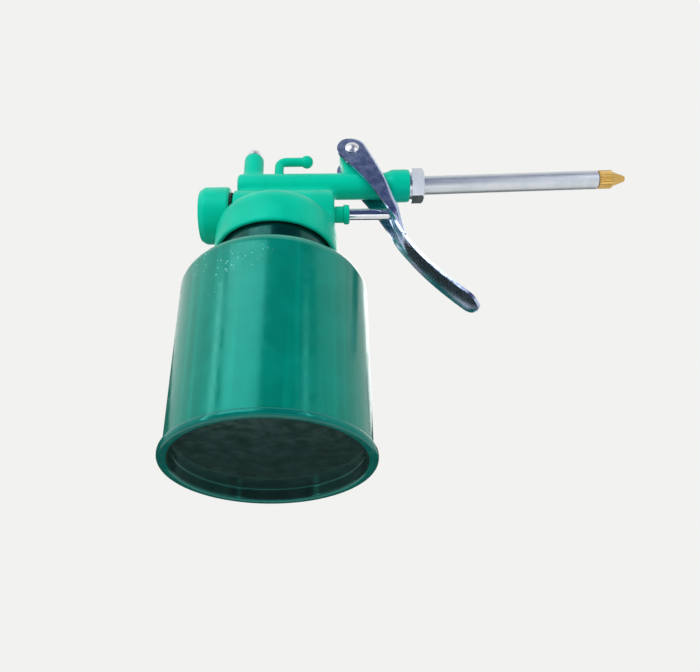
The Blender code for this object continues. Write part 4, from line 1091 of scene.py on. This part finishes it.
@dataclass
class InnerWorks:
    """The pieces inside, which keep their CAD shapes and only get their finishes."""

    steel: tuple[str, ...] = ("piston", "return_spring", "inlet_ball", "outlet_ball", "outlet_spring")
    rubber: tuple[str, ...] = ("neck_gasket", "cap_washer", "piston_ring", "rod_packing", "key_ring")
    brass: tuple[str, ...] = ("inlet_fitting", "dip_strainer", "spout_ferrule")
    plastic: tuple[str, ...] = ("dip_tube",)

    def build(self, nodes: dict[str, bpy.types.Object]) -> None:
        """Gives each node the material of its group."""
        groups = (
            (self.steel, PLAIN_STEEL),
            (self.rubber, SEAL_RUBBER),
            (self.brass, NOZZLE_BRASS),
            (self.plastic, TUBE_PLASTIC),
        )
        for names, finish in groups:
            for name in names:
                nodes[name].data.materials.clear()
                nodes[name].data.materials.append(material_of(finish))
                LOG.info("%s keeps its CAD shape in %s", name, finish.name)


# ---------------------------------------------------------------- studio


@dataclass
class Studio:
    """The pale floor, the soft lights, the pale surround and the camera."""

    pale: tuple[float, float, float] = (0.888, 0.888, 0.871)
    surround: float = 0.46
    eye: tuple[float, float, float] = (23.5, -254.2, -110.8)
    heading: float = 0.029
    climb: float = 0.578
    roll: float = -0.031
    lens: float = 38.78

    def floor(self) -> None:
        """A plain floor that shows only to a camera above it."""
        half = 4000.0
        flat = np.array([[-half, -half, -0.1], [half, -half, -0.1], [half, half, -0.1], [-half, half, -0.1]])
        data = put_in_mesh("floor", flat, np.array([[0, 1, 2, 3]]))
        plane = shown("floor", data)
        if data.polygons[0].normal.z < 0:
            data.flip_normals()
        made = bpy.data.materials.new("floor_paint")
        made.use_nodes = True
        tree = made.node_tree
        shader = tree.nodes["Principled BSDF"]
        shader.inputs["Base Color"].default_value = (0.86, 0.86, 0.845, 1.0)
        shader.inputs["Roughness"].default_value = 0.7
        clear = tree.nodes.new("ShaderNodeBsdfTransparent")
        blend = tree.nodes.new("ShaderNodeMixShader")
        side = tree.nodes.new("ShaderNodeNewGeometry")
        tree.links.new(side.outputs["Backfacing"], blend.inputs[0])
        tree.links.new(shader.outputs[0], blend.inputs[1])
        tree.links.new(clear.outputs[0], blend.inputs[2])
        tree.links.new(blend.outputs[0], tree.nodes["Material Output"].inputs["Surface"])
        data.materials.append(made)
        plane.visible_diffuse = plane.visible_glossy = plane.visible_shadow = plane.visible_transmission = False

    def world(self) -> None:
        """A pale surround to the camera and to reflections, and a plain soft light to the rest."""
        world = bpy.data.worlds.new("surround")
        bpy.context.scene.world = world
        world.use_nodes = True
        tree = world.node_tree
        tree.nodes.clear()
        seen = tree.nodes.new("ShaderNodeBackground")
        seen.inputs["Color"].default_value = (*self.pale, 1.0)
        soft = tree.nodes.new("ShaderNodeBackground")
        soft.inputs["Color"].default_value = (1.0, 1.0, 1.0, 1.0)
        soft.inputs["Strength"].default_value = self.surround
        path = tree.nodes.new("ShaderNodeLightPath")
        either = tree.nodes.new("ShaderNodeMath")
        either.operation = "MAXIMUM"
        both = tree.nodes.new("ShaderNodeMath")
        both.operation = "MAXIMUM"
        tree.links.new(path.outputs["Is Camera Ray"], either.inputs[0])
        tree.links.new(path.outputs["Is Glossy Ray"], either.inputs[1])
        tree.links.new(either.outputs[0], both.inputs[0])
        tree.links.new(path.outputs["Is Transmission Ray"], both.inputs[1])
        blend = tree.nodes.new("ShaderNodeMixShader")
        tree.links.new(both.outputs[0], blend.inputs[0])
        tree.links.new(soft.outputs[0], blend.inputs[1])
        tree.links.new(seen.outputs[0], blend.inputs[2])
        out = tree.nodes.new("ShaderNodeOutputWorld")
        tree.links.new(blend.outputs[0], out.inputs["Surface"])

    def lamp(self, name: str, spot: tuple, aim: tuple, size: tuple, power: float) -> None:
        """A soft box at spot that faces aim, both in millimetres, with size in metres."""
        data = bpy.data.lights.new(name, "AREA")
        data.shape = "RECTANGLE"
        data.size, data.size_y = size
        data.energy = power
        box = bpy.data.objects.new(name, data)
        box.visible_camera = False
        bpy.context.scene.collection.objects.link(box)
        box.location = self.world_point(spot)
        box.rotation_euler = (self.world_point(aim) - box.location).to_track_quat("-Z", "Y").to_euler()

    def flag(self, name: str, middle: tuple, size: tuple, colour: tuple) -> None:
        """An upright dark card that only reflections see, so that bright metal shows an edge."""
        x, y, z = middle
        half, tall = size[0] / 2, size[1] / 2
        spots = [[x - half, y, z - tall], [x + half, y, z - tall], [x + half, y, z + tall], [x - half, y, z + tall]]
        card = shown(name, put_in_mesh(name, np.array(spots), np.array([[0, 1, 2, 3]])))
        made = bpy.data.materials.new(name)
        made.use_nodes = True
        shader = made.node_tree.nodes["Principled BSDF"]
        shader.inputs["Base Color"].default_value = (0.0, 0.0, 0.0, 1.0)
        shader.inputs["Specular IOR Level"].default_value = 0.0
        shader.inputs["Emission Color"].default_value = (*colour, 1.0)
        shader.inputs["Emission Strength"].default_value = 1.0
        card.data.materials.append(made)
        card.visible_camera = card.visible_diffuse = card.visible_shadow = card.visible_transmission = False

    @staticmethod
    def world_point(spot: tuple[float, float, float]) -> Vector:
        """A point in millimetres from the can's axis as a point in the CAD frame."""
        return Vector(spot) * MM + Vector((axis_x(), 0.0, 0.0))

    def camera(self) -> None:
        """A camera below the standing plane that looks up at the object."""
        flat = math.cos(self.climb)
        ahead = Vector((math.sin(self.heading) * flat, math.cos(self.heading) * flat, math.sin(self.climb)))
        right = ahead.cross(Vector((0, 0, 1))).normalized()
        up = right.cross(ahead)
        level = Matrix((right, up, -ahead)).transposed()
        data = bpy.data.cameras.new("camera")
        data.lens = self.lens
        data.clip_start = 0.01
        camera = bpy.data.objects.new("camera", data)
        bpy.context.scene.collection.objects.link(camera)
        camera.matrix_world = Matrix.Translation(self.world_point(self.eye)) @ (
            level @ Matrix.Rotation(self.roll, 3, "Z")
        ).to_4x4()
        bpy.context.scene.camera = camera

    def build(self) -> None:
        """Sets the stage."""
        self.floor()
        self.world()
        middle = (20.0, 0.0, 90.0)
        self.lamp("key", (-260.0, -480.0, 330.0), middle, (0.40, 0.40), 1.55)
        self.lamp("fill", (420.0, -420.0, 60.0), middle, (0.3, 0.5), 0.5)
        self.lamp("under", (40.0, -330.0, -330.0), (0.0, 0.0, 40.0), (0.3, 0.2), 0.11)
        self.lamp("streak_left", (-300.0, -190.0, 60.0), (0.0, 0.0, 50.0), (0.04, 0.5), 0.22)
        self.lamp("streak_right", (260.0, -300.0, 60.0), (0.0, 0.0, 50.0), (0.03, 0.5), 0.12)
        self.lamp("back", (60.0, 480.0, 380.0), middle, (0.5, 0.4), 1.2)
        self.flag("front_flag", (0.0, -700.0, 250.0), (2000.0, 1700.0), (0.04, 0.06, 0.155))
        self.flag("rear_flag", (-350.0, 520.0, 60.0), (1500.0, 700.0), (0.03, 0.04, 0.035))
        self.camera()
        view = bpy.context.scene.view_settings
        view.view_transform = "Standard"


def main() -> None:
    """Builds every sub-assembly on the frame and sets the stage."""
    logging.basicConfig(level=logging.INFO, format="%(message)s")
    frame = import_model()
    Can().build()
    PumpHead().build()
    StopKey().build()
    Plunger().build()
    Lever().build()
    Spout().build()
    InnerWorks().build(frame["nodes"])
    Studio().build()
    bpy.context.view_layer.update()


if __name__ == "__main__":
    main()
